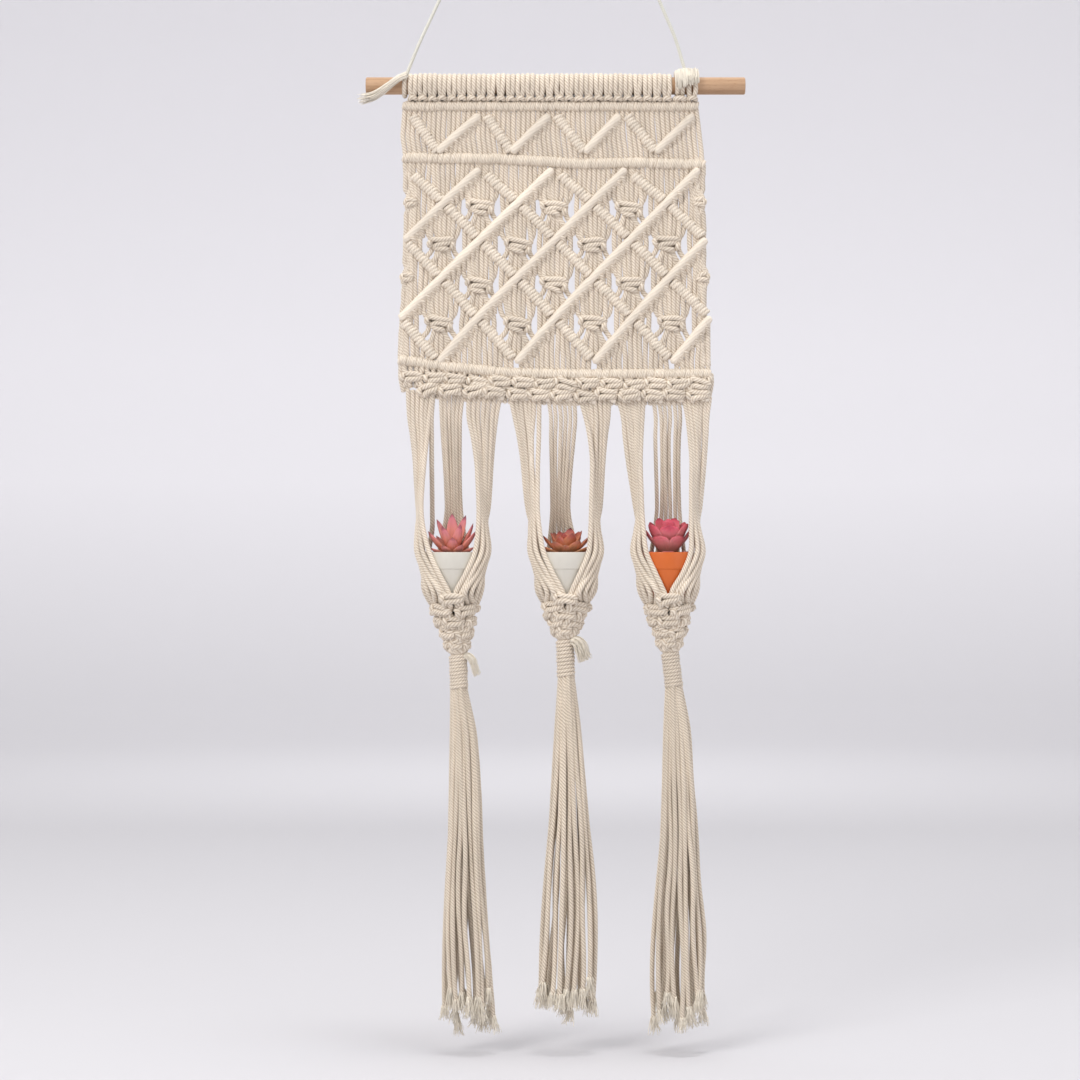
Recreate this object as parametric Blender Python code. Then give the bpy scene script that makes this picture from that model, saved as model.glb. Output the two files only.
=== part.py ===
"""Hanging macrame planter: a dowel on a hanging cord carries a knotted panel, and three net planters
with potted succulents and tassels hang from the panel.

Metres, +Z up, the front is -Y. The origin is the point where the hanging cord lies over its hook.
"""

import math

import bmesh
import bpy
from mathutils import Matrix, Vector

GAP = 0.0003  # left between neighbouring solids
HINGE_GAP = 0.003  # left where a hanging piece turns under the piece that holds it

# Cord and dowel
CORD = 0.0045
TUBE_LEVEL = 2  # bevel resolution of a round bar or cord
DOWEL_Z = -0.324
DOWEL_RADIUS = 0.0086
DOWEL_LEFT = -0.189
DOWEL_RIGHT = 0.190
DOWEL_BEVEL = 0.0006
DOWEL_SIDES = 24
HANGING_CORD = 0.0036
HOOK_BEND = 0.006  # radius of the hanging cord's bend over its hook
LEFT_FOOT = (-0.1485, -0.3089)  # where the cord's left side meets its hitch
RIGHT_FOOT = (0.1310, -0.3025)
LEG_STEPS = 28
BEND_STEPS = 4

# What is tied round the dowel, from left to right
LOOP_INSIDE = DOWEL_RADIUS + GAP
LOOP_OUTSIDE = 0.0126
LOOP_DROP = 0.0150  # how far the bumps of the lark's heads reach under the dowel's axis
LEFT_HITCH = (-0.1530, -0.1474)
LARKS_HEAD_ROW = (-0.1468, 0.1165)
RIGHT_HITCH = (0.1195, 0.1300)
LARKS_HEAD_END = (0.1306, 0.1430)
LEFT_TAIL = (  # (middle, radius) of the spare end at the dowel's left, from its root to its frayed tip
    ((-0.1555, -0.0128, -0.3185), 0.0036),
    ((-0.1640, -0.0150, -0.3250), 0.0042),
    ((-0.1740, -0.0150, -0.3320), 0.0044),
    ((-0.1830, -0.0135, -0.3380), 0.0048),
    ((-0.1930, -0.0120, -0.3370), 0.0070),
)
LEFT_TAIL_ACROSS = (0.55, 0.0, -0.83)  # square to its run
LEFT_TAIL_FLATNESS = 0.85
LEFT_TAIL_SIDES = 10
TUFT_INSIDE = 0.0155
TUFT_OUTSIDE = 0.0190
TUFT_ANGLES = (-35.0, 85.0)  # degrees round the dowel, from its top towards the front
TUFT_STEPS = 8
# (x, fullness) along the tuft
TUFT_STATIONS = ((RIGHT_HITCH[0], 0.92), (0.125, 1.0), (0.138, 1.0), (LARKS_HEAD_END[1], 0.90))
BAR_STEP = 0.045  # longest straight run of a level bar

# Panel: its edges as (height, left, right), and its horizontal bars as (x, z) points
PANEL_EDGES = (
    (-0.340, -0.152, 0.143),
    (-0.390, -0.152, 0.148),
    (-0.470, -0.151, 0.151),
    (-0.540, -0.154, 0.151),
    (-0.590, -0.157, 0.155),
    (-0.640, -0.155, 0.158),
)
PLATE = 0.0045
TOP_BAR = ((-0.152, -0.345), (0.143, -0.345))
MIDDLE_BAR = ((-0.152, -0.396), (-0.055, -0.397), (0.025, -0.402), (0.085, -0.401), (0.149, -0.403))
BOTTOM_BAR = ((-0.156, -0.598), (-0.105, -0.605), (-0.055, -0.6105), (0.005, -0.6125), (0.156, -0.612))
BAR_RADIUS = 0.0052
DIAGONAL_RADIUS = 0.0034
DIAGONAL_Y = -(PLATE / 2 + GAP + DIAGONAL_RADIUS)
ZIGZAG_X = (-0.147, -0.117, -0.073, -0.043, -0.003, 0.030, 0.067, 0.101, 0.141)
ZIGZAG_PEAK = -0.356
ZIGZAG_VALLEY = -0.3855

# Diamond net: a lattice of crossings, 9 columns by 6 rows
NET_LEFT = -0.146
NET_PITCH = 0.0365
NET_COLUMNS = 9
NET_ROWS = (-0.4095, -0.441, -0.478, -0.516, -0.556, -0.5995)
HOLE_OFFSET = 0.0172
HOLE_WIDTH = 0.0055
HOLE_HEIGHT = 0.0150
HOLE_SIDES = 8

# Alternating square knots under the panel
KNOT_ROW_SPLIT = -0.6290
KNOT_ROW_END = -0.6400
KNOT_ROW_SIDE = (-0.155, 0.158)
KNOT_DEPTH = 0.0085

# Planters: each cord route is set by its place at four heights
CORDS_TOP = KNOT_ROW_END - HINGE_GAP
PINCH_Z = -0.748
RIM_Z = -0.790
CUP_TOP = -0.828
SIDE_CORDS = 7
BACK_CORDS = 6
CORD_ANGLE = 18.0  # degrees between neighbouring cords round the cup
PLANTERS = (
    {"centre": -0.102, "left": (-0.125, -0.152), "back": (-0.1140, -0.0945), "right": (-0.0885, -0.057),
     "wrap": (-0.892, -0.928), "wrap_x": (-0.097, -0.096), "tail": 0.0135},
    {"centre": 0.011, "left": (-0.016, -0.043), "back": (-0.004, 0.021), "right": (0.028, 0.055),
     "wrap": (-0.877, -0.916), "wrap_x": (0.010, 0.011), "tail": 0.0145},
    {"centre": 0.113, "left": (0.088, 0.067), "back": (0.101, 0.126), "right": (0.131, 0.153),
     "wrap": (-0.890, -0.926), "wrap_x": (0.115, 0.119), "tail": None},
)
PINCH_OFFSET = 0.0325
PINCH_DEPTH = 0.0085
PINCH_THICKNESS = 0.008
BUNDLE_HEIGHTS = (CORDS_TOP, -0.680, -0.715, PINCH_Z, -0.768, RIM_Z, -0.808, CUP_TOP + GAP)
SIDE_BUNDLE_STEPS = (0, 1.5, 3, 4.5, 6)  # the cords that a bundle's strip is drawn through
BACK_BUNDLE_STEPS = (0, 2.5, 5)
BACK_PINCH_SHARE = 0.3  # how far a back cord has moved towards its place at the rim by the pinch
RIM_ANGLES = (55.0, 121.0)
RIM_REACH = 0.0285
RIM_BULGE = 0.0075
BACK_PINCH_Y = 0.0275
BACK_RIM_RADIUS = 0.0300
CUP_RADIUS = 0.0285
CUP_WALL = 0.0085
CUP_PROFILE = ((0.0, 0.0310), (0.15, 0.0300), (0.40, 0.0245), (0.70, 0.0170), (0.90, 0.0120), (1.0, 0.0100))
CUP_FLOOR = RIM_Z - 0.059  # inside, just under the pot; the net is drawn shut below it
CUP_SIDES = 20
CORE_RADIUS = 0.0060
WRAP_RADIUS = 0.0094
WRAP_TURNS = 10
WRAP_RIDGE = 0.0009
WRAP_SIDES = 12
WRAP_TAIL = ((0.0, -0.002, -0.006, 0.0022), (0.45, -0.004, -0.009, 0.0040), (1.0, -0.004, -0.017, 0.0050))
WRAP_TAIL_SIDES = 8

# Pots and plants
POT_RIM = 0.0250
POT_BASE = 0.0160
POT_HEIGHT = 0.056
POT_WALL = 0.0020
POT_LIP = 0.0165  # height of the band under the rim
POT_STEP = 0.0008
POT_FLOOR = 0.0145  # radius inside
POT_SIDES = 28
SOIL_DROP = 0.0045
SOIL_DEPTH = 0.012
SOIL_RADII = (0.0198, 0.0218)  # at its bottom and its top
SOIL_SIDES = 24
ROSETTE = (  # (share of the height, share of the reach, depth of the gaps between leaves)
    (0.0, 0.30, 0.0),
    (0.12, 0.45, 0.3),
    (0.38, 1.0, 1.0),
    (0.60, 0.82, 1.0),
    (0.88, 0.40, 0.6),
    (1.0, 0.10, 0.0),
)
ROSETTE_SIDES = 4  # for each leaf
ROSETTE_LEAN = 0.12  # how much shorter the leaves at the back are
PLANTS = (
    {"reach": 0.0235, "height": 0.040, "points": 8, "depth": 0.34},
    {"reach": 0.0235, "height": 0.026, "points": 8, "depth": 0.16},
    {"reach": 0.0210, "height": 0.037, "points": 6, "depth": 0.12},
)

# Tassels: half widths and middles at heights down from the wrap
TASSELS = (
    ((0.000, 0.0090, -0.096), (0.052, 0.0150, -0.091), (0.180, 0.0190, -0.090), (0.290, 0.0240, -0.087),
     (0.340, 0.0250, -0.085)),
    ((0.000, 0.0090, 0.011), (0.060, 0.0140, 0.013), (0.190, 0.0225, 0.015), (0.290, 0.0270, 0.012),
     (0.340, 0.0290, 0.010)),
    ((0.000, 0.0090, 0.119), (0.052, 0.0150, 0.122), (0.180, 0.0205, 0.124), (0.290, 0.0260, 0.124),
     (0.342, 0.0280, 0.125)),
)
TASSEL_DEPTH = 0.75  # depth of a tassel over its width
TASSEL_SIDES = 16

COTTON = (0.80, 0.72, 0.62, 1.0)
WOOD = (0.60, 0.38, 0.24, 1.0)
SOIL = (0.10, 0.07, 0.05, 1.0)
POT_COLOURS = ((0.85, 0.84, 0.81, 1.0), (0.85, 0.84, 0.80, 1.0), (0.86, 0.24, 0.03, 1.0))
PLANT_COLOURS = ((0.62, 0.24, 0.22, 1.0), (0.42, 0.16, 0.09, 1.0), (0.55, 0.13, 0.15, 1.0))


# ---- helpers ----------------------------------------------------------------------------------


def clear_scene():
    for obj in list(bpy.data.objects):
        bpy.data.objects.remove(obj)


def make_material(name, colour, roughness):
    material = bpy.data.materials.new(name)
    material.use_nodes = True
    shader = material.node_tree.nodes["Principled BSDF"]
    shader.inputs["Base Color"].default_value = colour
    shader.inputs["Roughness"].default_value = roughness
    shader.inputs["Metallic"].default_value = 0.0
    return material


def make_pivot(name, place, parent=None):
    """An empty on a joint's axis. What hangs from it is parented to it."""
    pivot = bpy.data.objects.new(name, None)
    pivot.location = place
    if parent:
        pivot.location = Vector(place) - Vector(parent["world"])
        pivot.parent = parent
    pivot["world"] = list(place)
    bpy.context.scene.collection.objects.link(pivot)
    return pivot


def add_object(name, data, colour, roughness, pivot):
    """Links an object whose data is in world coordinates, hanging from its pivot."""
    obj = bpy.data.objects.new(name, data)
    obj.data.materials.append(make_material(name, colour, roughness))
    bpy.context.scene.collection.objects.link(obj)
    if pivot:
        obj.parent = pivot
        obj.matrix_parent_inverse = Matrix.Translation(Vector(pivot["world"])).inverted()
    return obj


def add_mesh(name, bm, colour, pivot, roughness=0.9, sharp=40.0):
    bmesh.ops.recalc_face_normals(bm, faces=bm.faces)
    mesh = bpy.data.meshes.new(name)
    bm.to_mesh(mesh)
    bm.free()
    mesh.shade_smooth()
    mesh.set_sharp_from_angle(angle=math.radians(sharp))
    return add_object(name, mesh, colour, roughness, pivot)


def bridge(bm, first, second):
    for i in range(len(first)):
        j = (i + 1) % len(first)
        bm.faces.new((first[i], first[j], second[j], second[i]))


def loft(name, rings, colour, pivot, roughness=0.9):
    """One closed solid through rings that all have the same number of points."""
    bm = bmesh.new()
    loops = [[bm.verts.new(point) for point in ring] for ring in rings]
    for first, second in zip(loops, loops[1:]):
        bridge(bm, first, second)
    bm.faces.new(loops[0])
    bm.faces.new(loops[-1])
    return add_mesh(name, bm, colour, pivot, roughness)


def turn(name, profile, middle, sides, colour, pivot, roughness=0.9, closed=False):
    """A turned solid. The profile holds (radius, z), and middle gives the axis's x at each z."""
    bm = bmesh.new()
    loops = []
    for radius, z in profile:
        count = sides if radius > 0 else 1
        loop = []
        for i in range(count):
            angle = 2 * math.pi * i / sides
            loop.append(bm.verts.new((middle(z) + radius * math.cos(angle), radius * math.sin(angle), z)))
        loops.append(loop)
    pairs = list(zip(loops, loops[1:]))
    if closed:
        pairs.append((loops[-1], loops[0]))
    for first, second in pairs:
        if len(first) == 1 or len(second) == 1:
            pole, ring = sorted((first, second), key=len)
            for i in range(sides):
                bm.faces.new((pole[0], ring[i], ring[(i + 1) % sides]))
        else:
            bridge(bm, first, second)
    return add_mesh(name, bm, colour, pivot, roughness)


def tube(name, points, radius, colour, pivot):
    """A cord or bar: a bevelled curve with filled caps."""
    curve = bpy.data.curves.new(name, "CURVE")
    curve.dimensions = "3D"
    curve.bevel_depth = radius
    curve.bevel_resolution = TUBE_LEVEL
    curve.use_fill_caps = True
    spline = curve.splines.new("POLY")
    spline.points.add(len(points) - 1)
    for target, point in zip(spline.points, points):
        target.co = (*point, 1.0)
    return add_object(name, curve, colour, 0.9, pivot)


def slab(name, outline, depth, colour, pivot, middle_y=0.0):
    """A flat solid: an outline of (x, z) points, given a depth along Y."""
    rings = [[(x, middle_y + side * depth / 2, z) for x, z in outline] for side in (-1, 1)]
    return loft(name, rings, colour, pivot)


def between(points, at):
    """The value at a place on a broken line of (place, value) points."""
    points = sorted(points)
    if at <= points[0][0]:
        return points[0][1]
    for (x0, y0), (x1, y1) in zip(points, points[1:]):
        if at <= x1:
            return y0 + (y1 - y0) * (at - x0) / (x1 - x0)
    return points[-1][1]


def smooth(keys, at):
    """The value at a place on a smooth curve through (place, value) keys in falling order."""
    slopes = []
    for i in range(len(keys)):
        low = keys[max(i - 1, 0)]
        high = keys[min(i + 1, len(keys) - 1)]
        slopes.append((high[1] - low[1]) / (high[0] - low[0]))
    for i, ((z0, v0), (z1, v1)) in enumerate(zip(keys, keys[1:])):
        if at >= z1 or i == len(keys) - 2:
            span = z1 - z0
            t = min(max((at - z0) / span, 0.0), 1.0)
            return (
                v0 * (2 * t**3 - 3 * t**2 + 1)
                + slopes[i] * span * (t**3 - 2 * t**2 + t)
                + v1 * (3 * t**2 - 2 * t**3)
                + slopes[i + 1] * span * (t**3 - t**2)
            )


def panel_edge(z, side):
    return between([(edge[0], edge[1 + side]) for edge in PANEL_EDGES], z)


# ---- dowel and hanging cord -------------------------------------------------------------------


def make_dowel():
    rings = []
    for x, radius in (
        (DOWEL_LEFT, DOWEL_RADIUS - DOWEL_BEVEL),
        (DOWEL_LEFT + DOWEL_BEVEL, DOWEL_RADIUS),
        (DOWEL_RIGHT - DOWEL_BEVEL, DOWEL_RADIUS),
        (DOWEL_RIGHT, DOWEL_RADIUS - DOWEL_BEVEL),
    ):
        rings.append(circle_round_dowel(x, lambda angle, r=radius: r))
    loft("dowel", rings, WOOD, None, roughness=0.6)


def circle_round_dowel(x, radius_at, sides=DOWEL_SIDES):
    """Points round the dowel's axis. The angle is 0 at the top and grows towards the front."""
    ring = []
    for i in range(sides):
        angle = 2 * math.pi * i / sides
        radius = radius_at(angle)
        ring.append((x, -radius * math.sin(angle), DOWEL_Z + radius * math.cos(angle)))
    return ring


def make_hanging_cord():
    """Down from its bend over the hook to the hitch at each side, in one piece."""
    middle = Vector((0.0, 0.0, HANGING_CORD / 2 - HOOK_BEND))
    halves = []
    for side, (x, z) in ((-1, LEFT_FOOT), (1, RIGHT_FOOT)):
        foot = Vector((x, 0.0, z))
        offset = foot - middle
        heading = math.atan2(offset.z, offset.x) % (2 * math.pi) - (2 * math.pi if side > 0 else 0.0)
        touch = heading + side * math.acos(HOOK_BEND / offset.length)
        half = []
        for i in range(LEG_STEPS):
            half.append(foot.lerp(middle + HOOK_BEND * direction(touch), i / LEG_STEPS))
        for i in range(BEND_STEPS):
            half.append(middle + HOOK_BEND * direction(touch + (math.pi / 2 - touch) * i / BEND_STEPS))
        halves.append(half)
    top = middle + Vector((0.0, 0.0, HOOK_BEND))
    tube("hanging_cord", [*halves[0], top, *halves[1][::-1]], HANGING_CORD / 2, COTTON, None)


def direction(angle):
    return Vector((math.cos(angle), 0.0, math.sin(angle)))


def sleeve(name, span, drop, colour, pivot):
    """A sleeve of loops round the dowel, with the knots' bumps under it."""

    def outside(angle):
        under = max(0.0, -math.cos(angle)) ** 6
        return LOOP_OUTSIDE + (drop - LOOP_OUTSIDE) * under

    bm = bmesh.new()
    loops = []
    for x, radius_at in (
        (span[0], outside),
        (span[1], outside),
        (span[1], lambda angle: LOOP_INSIDE),
        (span[0], lambda angle: LOOP_INSIDE),
    ):
        loops.append([bm.verts.new(point) for point in circle_round_dowel(x, radius_at)])
    for i in range(4):
        bridge(bm, loops[i], loops[(i + 1) % 4])
    add_mesh(name, bm, colour, pivot)


def make_left_tail():
    """The thick spare end in front of the dowel, with its frayed tip."""
    rings = []
    for place, radius in LEFT_TAIL:
        ring = []
        for i in range(LEFT_TAIL_SIDES):
            angle = 2 * math.pi * i / LEFT_TAIL_SIDES
            flat = Vector(LEFT_TAIL_ACROSS) * math.cos(angle)
            deep = Vector((0, LEFT_TAIL_FLATNESS, 0)) * math.sin(angle)
            ring.append(Vector(place) + (flat + deep) * radius)
        rings.append(ring)
    loft("left_tail", rings, COTTON, None)


def make_right_tuft():
    """The folded end of the hanging cord, lying over the right hitch and the last lark's heads."""
    first, last = TUFT_ANGLES
    angles = [math.radians(first + (last - first) * i / TUFT_STEPS) for i in range(TUFT_STEPS + 1)]
    outline = [(TUFT_OUTSIDE, angle) for angle in angles] + [(TUFT_INSIDE, angle) for angle in angles[::-1]]
    rings = []
    for x, swell in TUFT_STATIONS:
        ring = []
        for radius, angle in outline:
            r = TUFT_INSIDE + (radius - TUFT_INSIDE) * swell
            ring.append((x, -r * math.sin(angle), DOWEL_Z + r * math.cos(angle)))
        rings.append(ring)
    loft("right_tuft", rings, COTTON, None)


# ---- panel ------------------------------------------------------------------------------------


def horizontal_bar(name, line, pivot):
    """A row of hitches: a round bar along a nearly level line."""
    start = Vector((line[0][0], 0.0, line[0][1]))
    points = [start]
    for (x0, z0), (x1, z1) in zip(line, line[1:]):
        steps = max(1, round((x1 - x0) / BAR_STEP))
        for i in range(1, steps + 1):
            points.append(Vector((x0 + (x1 - x0) * i / steps, 0.0, z0 + (z1 - z0) * i / steps)))
    tube(name, points, BAR_RADIUS, COTTON, pivot)


def panel_plate(name, upper, lower, pivot):
    """The strands between two bars, as one flat solid that stops just short of both."""
    reach = BAR_RADIUS + 2 * GAP
    inset = GAP
    top = [(x, z - reach) for x, z in upper]
    bottom = [(x, z + reach) for x, z in lower]
    top[0] = (panel_edge(top[0][1], 0) + inset, top[0][1])
    top[-1] = (panel_edge(top[-1][1], 1) - inset, top[-1][1])
    bottom[0] = (panel_edge(bottom[0][1], 0) + inset, bottom[0][1])
    bottom[-1] = (panel_edge(bottom[-1][1], 1) - inset, bottom[-1][1])
    return slab(name, top + bottom[::-1], PLATE, COTTON, pivot)


def net_node(column, row):
    return NET_LEFT + NET_PITCH * column, NET_ROWS[row]


def diamond_centres():
    """The middle of each whole diamond of the net."""
    for row in range(1, len(NET_ROWS) - 1):
        for column in range(1, NET_COLUMNS - 1):
            if (row + column) % 2:
                yield net_node(column, row)


def cut_holes(plate):
    """The see-through ovals at both sides of each diamond's knot."""
    bm = bmesh.new()
    for x, z in diamond_centres():
        for side in (-1, 1):
            ends = []
            for y in (-PLATE, PLATE):
                ring = []
                for i in range(HOLE_SIDES):
                    angle = 2 * math.pi * i / HOLE_SIDES
                    ring.append(bm.verts.new((
                        x + side * HOLE_OFFSET + HOLE_WIDTH / 2 * math.cos(angle),
                        y,
                        z + HOLE_HEIGHT / 2 * math.sin(angle),
                    )))
                ends.append(ring)
            bridge(bm, *ends)
            bm.faces.new(ends[0])
            bm.faces.new(ends[1])
    cutter = add_mesh("net_hole_cutter", bm, COTTON, None)
    cutter.hide_render = True
    cutter.display_type = "WIRE"
    cut = plate.modifiers.new("holes", "BOOLEAN")
    cut.operation = "DIFFERENCE"
    cut.solver = "EXACT"
    cut.object = cutter


def make_zigzag(pivot):
    points = []
    for i, x in enumerate(ZIGZAG_X):
        z = ZIGZAG_VALLEY if i % 2 else ZIGZAG_PEAK
        points.append(Vector((x, DIAGONAL_Y, z)))
    tube("zigzag_bar", points, DIAGONAL_RADIUS, COTTON, pivot)


def make_diagonals(pivot):
    """The bars that run down to the left over the net, each from one crossing to the next."""
    starts = [(2, 0), (4, 0), (6, 0), (8, 0), (8, 2), (8, 4)]
    for number, (column, row) in enumerate(starts, 1):
        points = []
        while column >= 0 and row < len(NET_ROWS):
            x, z = net_node(column, row)
            points.append(Vector((x, DIAGONAL_Y, z)))
            column -= 1
            row += 1
        points = [points[0].lerp(points[1], 0.12), *points[1:-1], points[-1].lerp(points[-2], 0.12)]
        tube(f"diagonal_bar_{number}", points, DIAGONAL_RADIUS, COTTON, pivot)


def make_knot_rows(pivot):
    """Two rows of square knots. The upper row spans the panel, and the lower row is in three groups."""
    left, right = KNOT_ROW_SIDE
    top = [(x, z - BAR_RADIUS - 2 * GAP) for x, z in BOTTOM_BAR]
    top[0] = (left, top[0][1])
    top[-1] = (right, top[-1][1])
    outline = top + [(right, KNOT_ROW_SPLIT + GAP), (left, KNOT_ROW_SPLIT + GAP)]
    slab("square_knot_row", outline, KNOT_DEPTH, COTTON, pivot)
    for number, planter in enumerate(PLANTERS, 1):
        start = planter["left"][1] - CORD / 2
        end = planter["right"][1] + CORD / 2
        outline = [(start, KNOT_ROW_SPLIT), (end, KNOT_ROW_SPLIT), (end, KNOT_ROW_END), (start, KNOT_ROW_END)]
        slab(f"square_knot_group_{number}", outline, KNOT_DEPTH, COTTON, pivot)


def make_panel(pivot):
    sleeve("larks_head_row", LARKS_HEAD_ROW, LOOP_DROP, COTTON, pivot)
    sleeve("larks_head_end", LARKS_HEAD_END, LOOP_DROP, COTTON, pivot)
    horizontal_bar("top_hitch_bar", TOP_BAR, pivot)
    horizontal_bar("middle_hitch_bar", MIDDLE_BAR, pivot)
    horizontal_bar("bottom_hitch_bar", BOTTOM_BAR, pivot)
    panel_plate("zigzag_strands", TOP_BAR, MIDDLE_BAR, pivot)
    net = panel_plate("diamond_net", MIDDLE_BAR, BOTTOM_BAR, pivot)
    cut_holes(net)
    make_zigzag(pivot)
    make_diagonals(pivot)
    make_knot_rows(pivot)


# ---- planters ---------------------------------------------------------------------------------


def side_cord(planter, side, order):
    """The keys of one cord of a side bundle, counted from the front one outwards: (z, x, y)."""
    centre = planter["centre"]
    inner, outer = planter["left"] if side < 0 else planter["right"]
    share = order / (SIDE_CORDS - 1)
    rim_angle = math.radians(RIM_ANGLES[0] + (RIM_ANGLES[1] - RIM_ANGLES[0]) * share)
    rim_radius = RIM_REACH + RIM_BULGE * math.sin(math.pi * share)
    cup_angle = math.radians(CORD_ANGLE * (order + 0.5))
    return (
        (CORDS_TOP, inner + (outer - inner) * share, 0.0),
        (PINCH_Z, centre + side * PINCH_OFFSET, PINCH_DEPTH * (2 * share - 1)),
        (RIM_Z, centre + side * rim_radius * math.sin(rim_angle), -rim_radius * math.cos(rim_angle)),
        (CUP_TOP + GAP, centre + side * CUP_RADIUS * math.sin(cup_angle), -CUP_RADIUS * math.cos(cup_angle)),
    )


def back_cord(planter, order):
    """The keys of one cord of the back bundle, counted from the left: (z, x, y)."""
    centre = planter["centre"]
    left, right = planter["back"]
    share = order / (BACK_CORDS - 1)
    angle = math.radians(CORD_ANGLE * (order - (BACK_CORDS - 1) / 2))
    top = left + (right - left) * share
    rim = centre + BACK_RIM_RADIUS * math.sin(angle)
    return (
        (CORDS_TOP, top, 0.0),
        (PINCH_Z, top + (rim - top) * BACK_PINCH_SHARE, BACK_PINCH_Y),
        (RIM_Z, rim, BACK_RIM_RADIUS * math.cos(angle)),
        (CUP_TOP + GAP, centre + CUP_RADIUS * math.sin(angle), CUP_RADIUS * math.cos(angle)),
    )


def bundle(name, cords, thickness_keys, pivot):
    """One solid through neighbouring cords: a strip that turns and fans as they do."""
    rings = []
    for z in BUNDLE_HEIGHTS:
        middles = []
        for keys in cords:
            x = smooth([(key[0], key[1]) for key in keys], z)
            y = smooth([(key[0], key[2]) for key in keys], z)
            middles.append(Vector((x, y, z)))
        thickness = between(thickness_keys, z)
        front, back = [], []
        for i, middle in enumerate(middles):
            along = (middles[min(i + 1, len(middles) - 1)] - middles[max(i - 1, 0)]).normalized()
            across = Vector((along.y, -along.x, 0.0))
            overhang = {0: -1, len(middles) - 1: 1}.get(i, 0) * CORD / 2
            place = middle + along * overhang
            front.append(place + across * thickness / 2)
            back.append(place - across * thickness / 2)
        rings.append(front + back[::-1])
    loft(name, rings, COTTON, pivot)


def make_cup(number, planter, pivot):
    """The knotted net under the pot: an open cup that narrows to the wrap."""
    bottom = planter["wrap"][0] + GAP
    height = CUP_TOP - bottom
    outer = [(radius, CUP_TOP - share * height) for share, radius in CUP_PROFILE]
    inner = []
    for share, radius in CUP_PROFILE[:-1]:
        z = CUP_TOP - share * height
        if z > CUP_FLOOR:
            inner.append((radius - CUP_WALL, z))
    inner.append((between([(z, radius) for radius, z in outer], CUP_FLOOR) - CUP_WALL, CUP_FLOOR))
    profile = [(0.0, bottom), *outer[::-1], *inner, (0.0, CUP_FLOOR)]
    turn(f"net_cup_{number}", profile, cup_middle(planter), CUP_SIDES, COTTON, pivot)


def cup_middle(planter):
    """The x of the cup's axis, which leans from the pot's middle to the wrap's."""
    top = (CUP_TOP, planter["centre"])
    bottom = (planter["wrap"][0], planter["wrap_x"][0])
    return lambda z: between([bottom, top], z)


def wrap_middle(planter):
    top = (planter["wrap"][0], planter["wrap_x"][0])
    bottom = (planter["wrap"][1], planter["wrap_x"][1])
    return lambda z: between([bottom, top], z)


def make_wrap(number, planter, pivot):
    """The gathering wrap, with one ridge for each turn, round the gathered cords."""
    top, bottom = planter["wrap"]
    pitch = (top - bottom) / WRAP_TURNS
    profile = []
    for i in range(WRAP_TURNS):
        profile.append((WRAP_RADIUS - WRAP_RIDGE, top - i * pitch))
        profile.append((WRAP_RADIUS, top - (i + 0.5) * pitch))
    profile.append((WRAP_RADIUS - WRAP_RIDGE, bottom))
    profile += [(CORE_RADIUS + GAP, bottom), (CORE_RADIUS + GAP, top)]
    middle = wrap_middle(planter)
    turn(f"gathering_wrap_{number}", profile, middle, WRAP_SIDES, COTTON, pivot, closed=True)
    core = [(0.0, bottom), (CORE_RADIUS, bottom), (CORE_RADIUS, top), (0.0, top)]
    turn(f"gathered_cords_{number}", core, middle, WRAP_SIDES, COTTON, pivot)


def make_wrap_tail(number, planter, pivot):
    """The frayed spare end that sticks out of the wrap at its right."""
    reach = planter["tail"]
    if reach is None:
        return
    top = planter["wrap"][0]
    start = planter["wrap_x"][0] + WRAP_RADIUS + GAP
    rings = []
    for share, y, drop, radius in WRAP_TAIL:
        ring = []
        for i in range(WRAP_TAIL_SIDES):
            angle = 2 * math.pi * i / WRAP_TAIL_SIDES
            z = top + drop + radius * math.sin(angle)
            ring.append((start + reach * share, y + radius * math.cos(angle), z))
        rings.append(ring)
    loft(f"wrap_tail_{number}", rings, COTTON, pivot)


def make_planter(number, planter, pivot):
    thickness = [(CORDS_TOP, CORD), (PINCH_Z, PINCH_THICKNESS), (RIM_Z, CORD), (CUP_TOP, CORD)]
    for side, word in ((-1, "left"), (1, "right")):
        cords = [side_cord(planter, side, order) for order in SIDE_BUNDLE_STEPS]
        bundle(f"{word}_cords_{number}", cords, thickness, pivot)
    cords = [back_cord(planter, order) for order in BACK_BUNDLE_STEPS]
    bundle(f"back_cords_{number}", cords, [(CORDS_TOP, CORD), (CUP_TOP, CORD)], pivot)
    make_cup(number, planter, pivot)
    make_wrap(number, planter, pivot)
    make_wrap_tail(number, planter, pivot)


def make_pot(number, planter, plant, pivot):
    """A tapered pot with a plain band under its rim, and its soil."""
    centre = planter["centre"]
    base = RIM_Z - POT_HEIGHT
    lip = RIM_Z - POT_LIP
    taper = (POT_RIM - POT_BASE) / POT_HEIGHT
    band_foot = POT_RIM - taper * POT_LIP
    profile = [
        (0.0, base),
        (POT_BASE, base),
        (band_foot - POT_STEP, lip),
        (band_foot, lip + POT_STEP),
        (POT_RIM, RIM_Z),
        (POT_RIM - POT_WALL, RIM_Z),
        (POT_FLOOR, base + POT_WALL),
        (0.0, base + POT_WALL),
    ]
    colour = POT_COLOURS[number - 1]
    turn(f"pot_{number}", profile, lambda z: centre, POT_SIDES, colour, pivot, roughness=0.45)
    top = RIM_Z - SOIL_DROP
    low, high = SOIL_RADII
    soil = [(0.0, top - SOIL_DEPTH), (low, top - SOIL_DEPTH), (high, top), (0.0, top)]
    turn(f"soil_{number}", soil, lambda z: centre, SOIL_SIDES, SOIL, pivot, roughness=1.0)
    make_plant(number, centre, top + GAP, plant, pivot)


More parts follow.
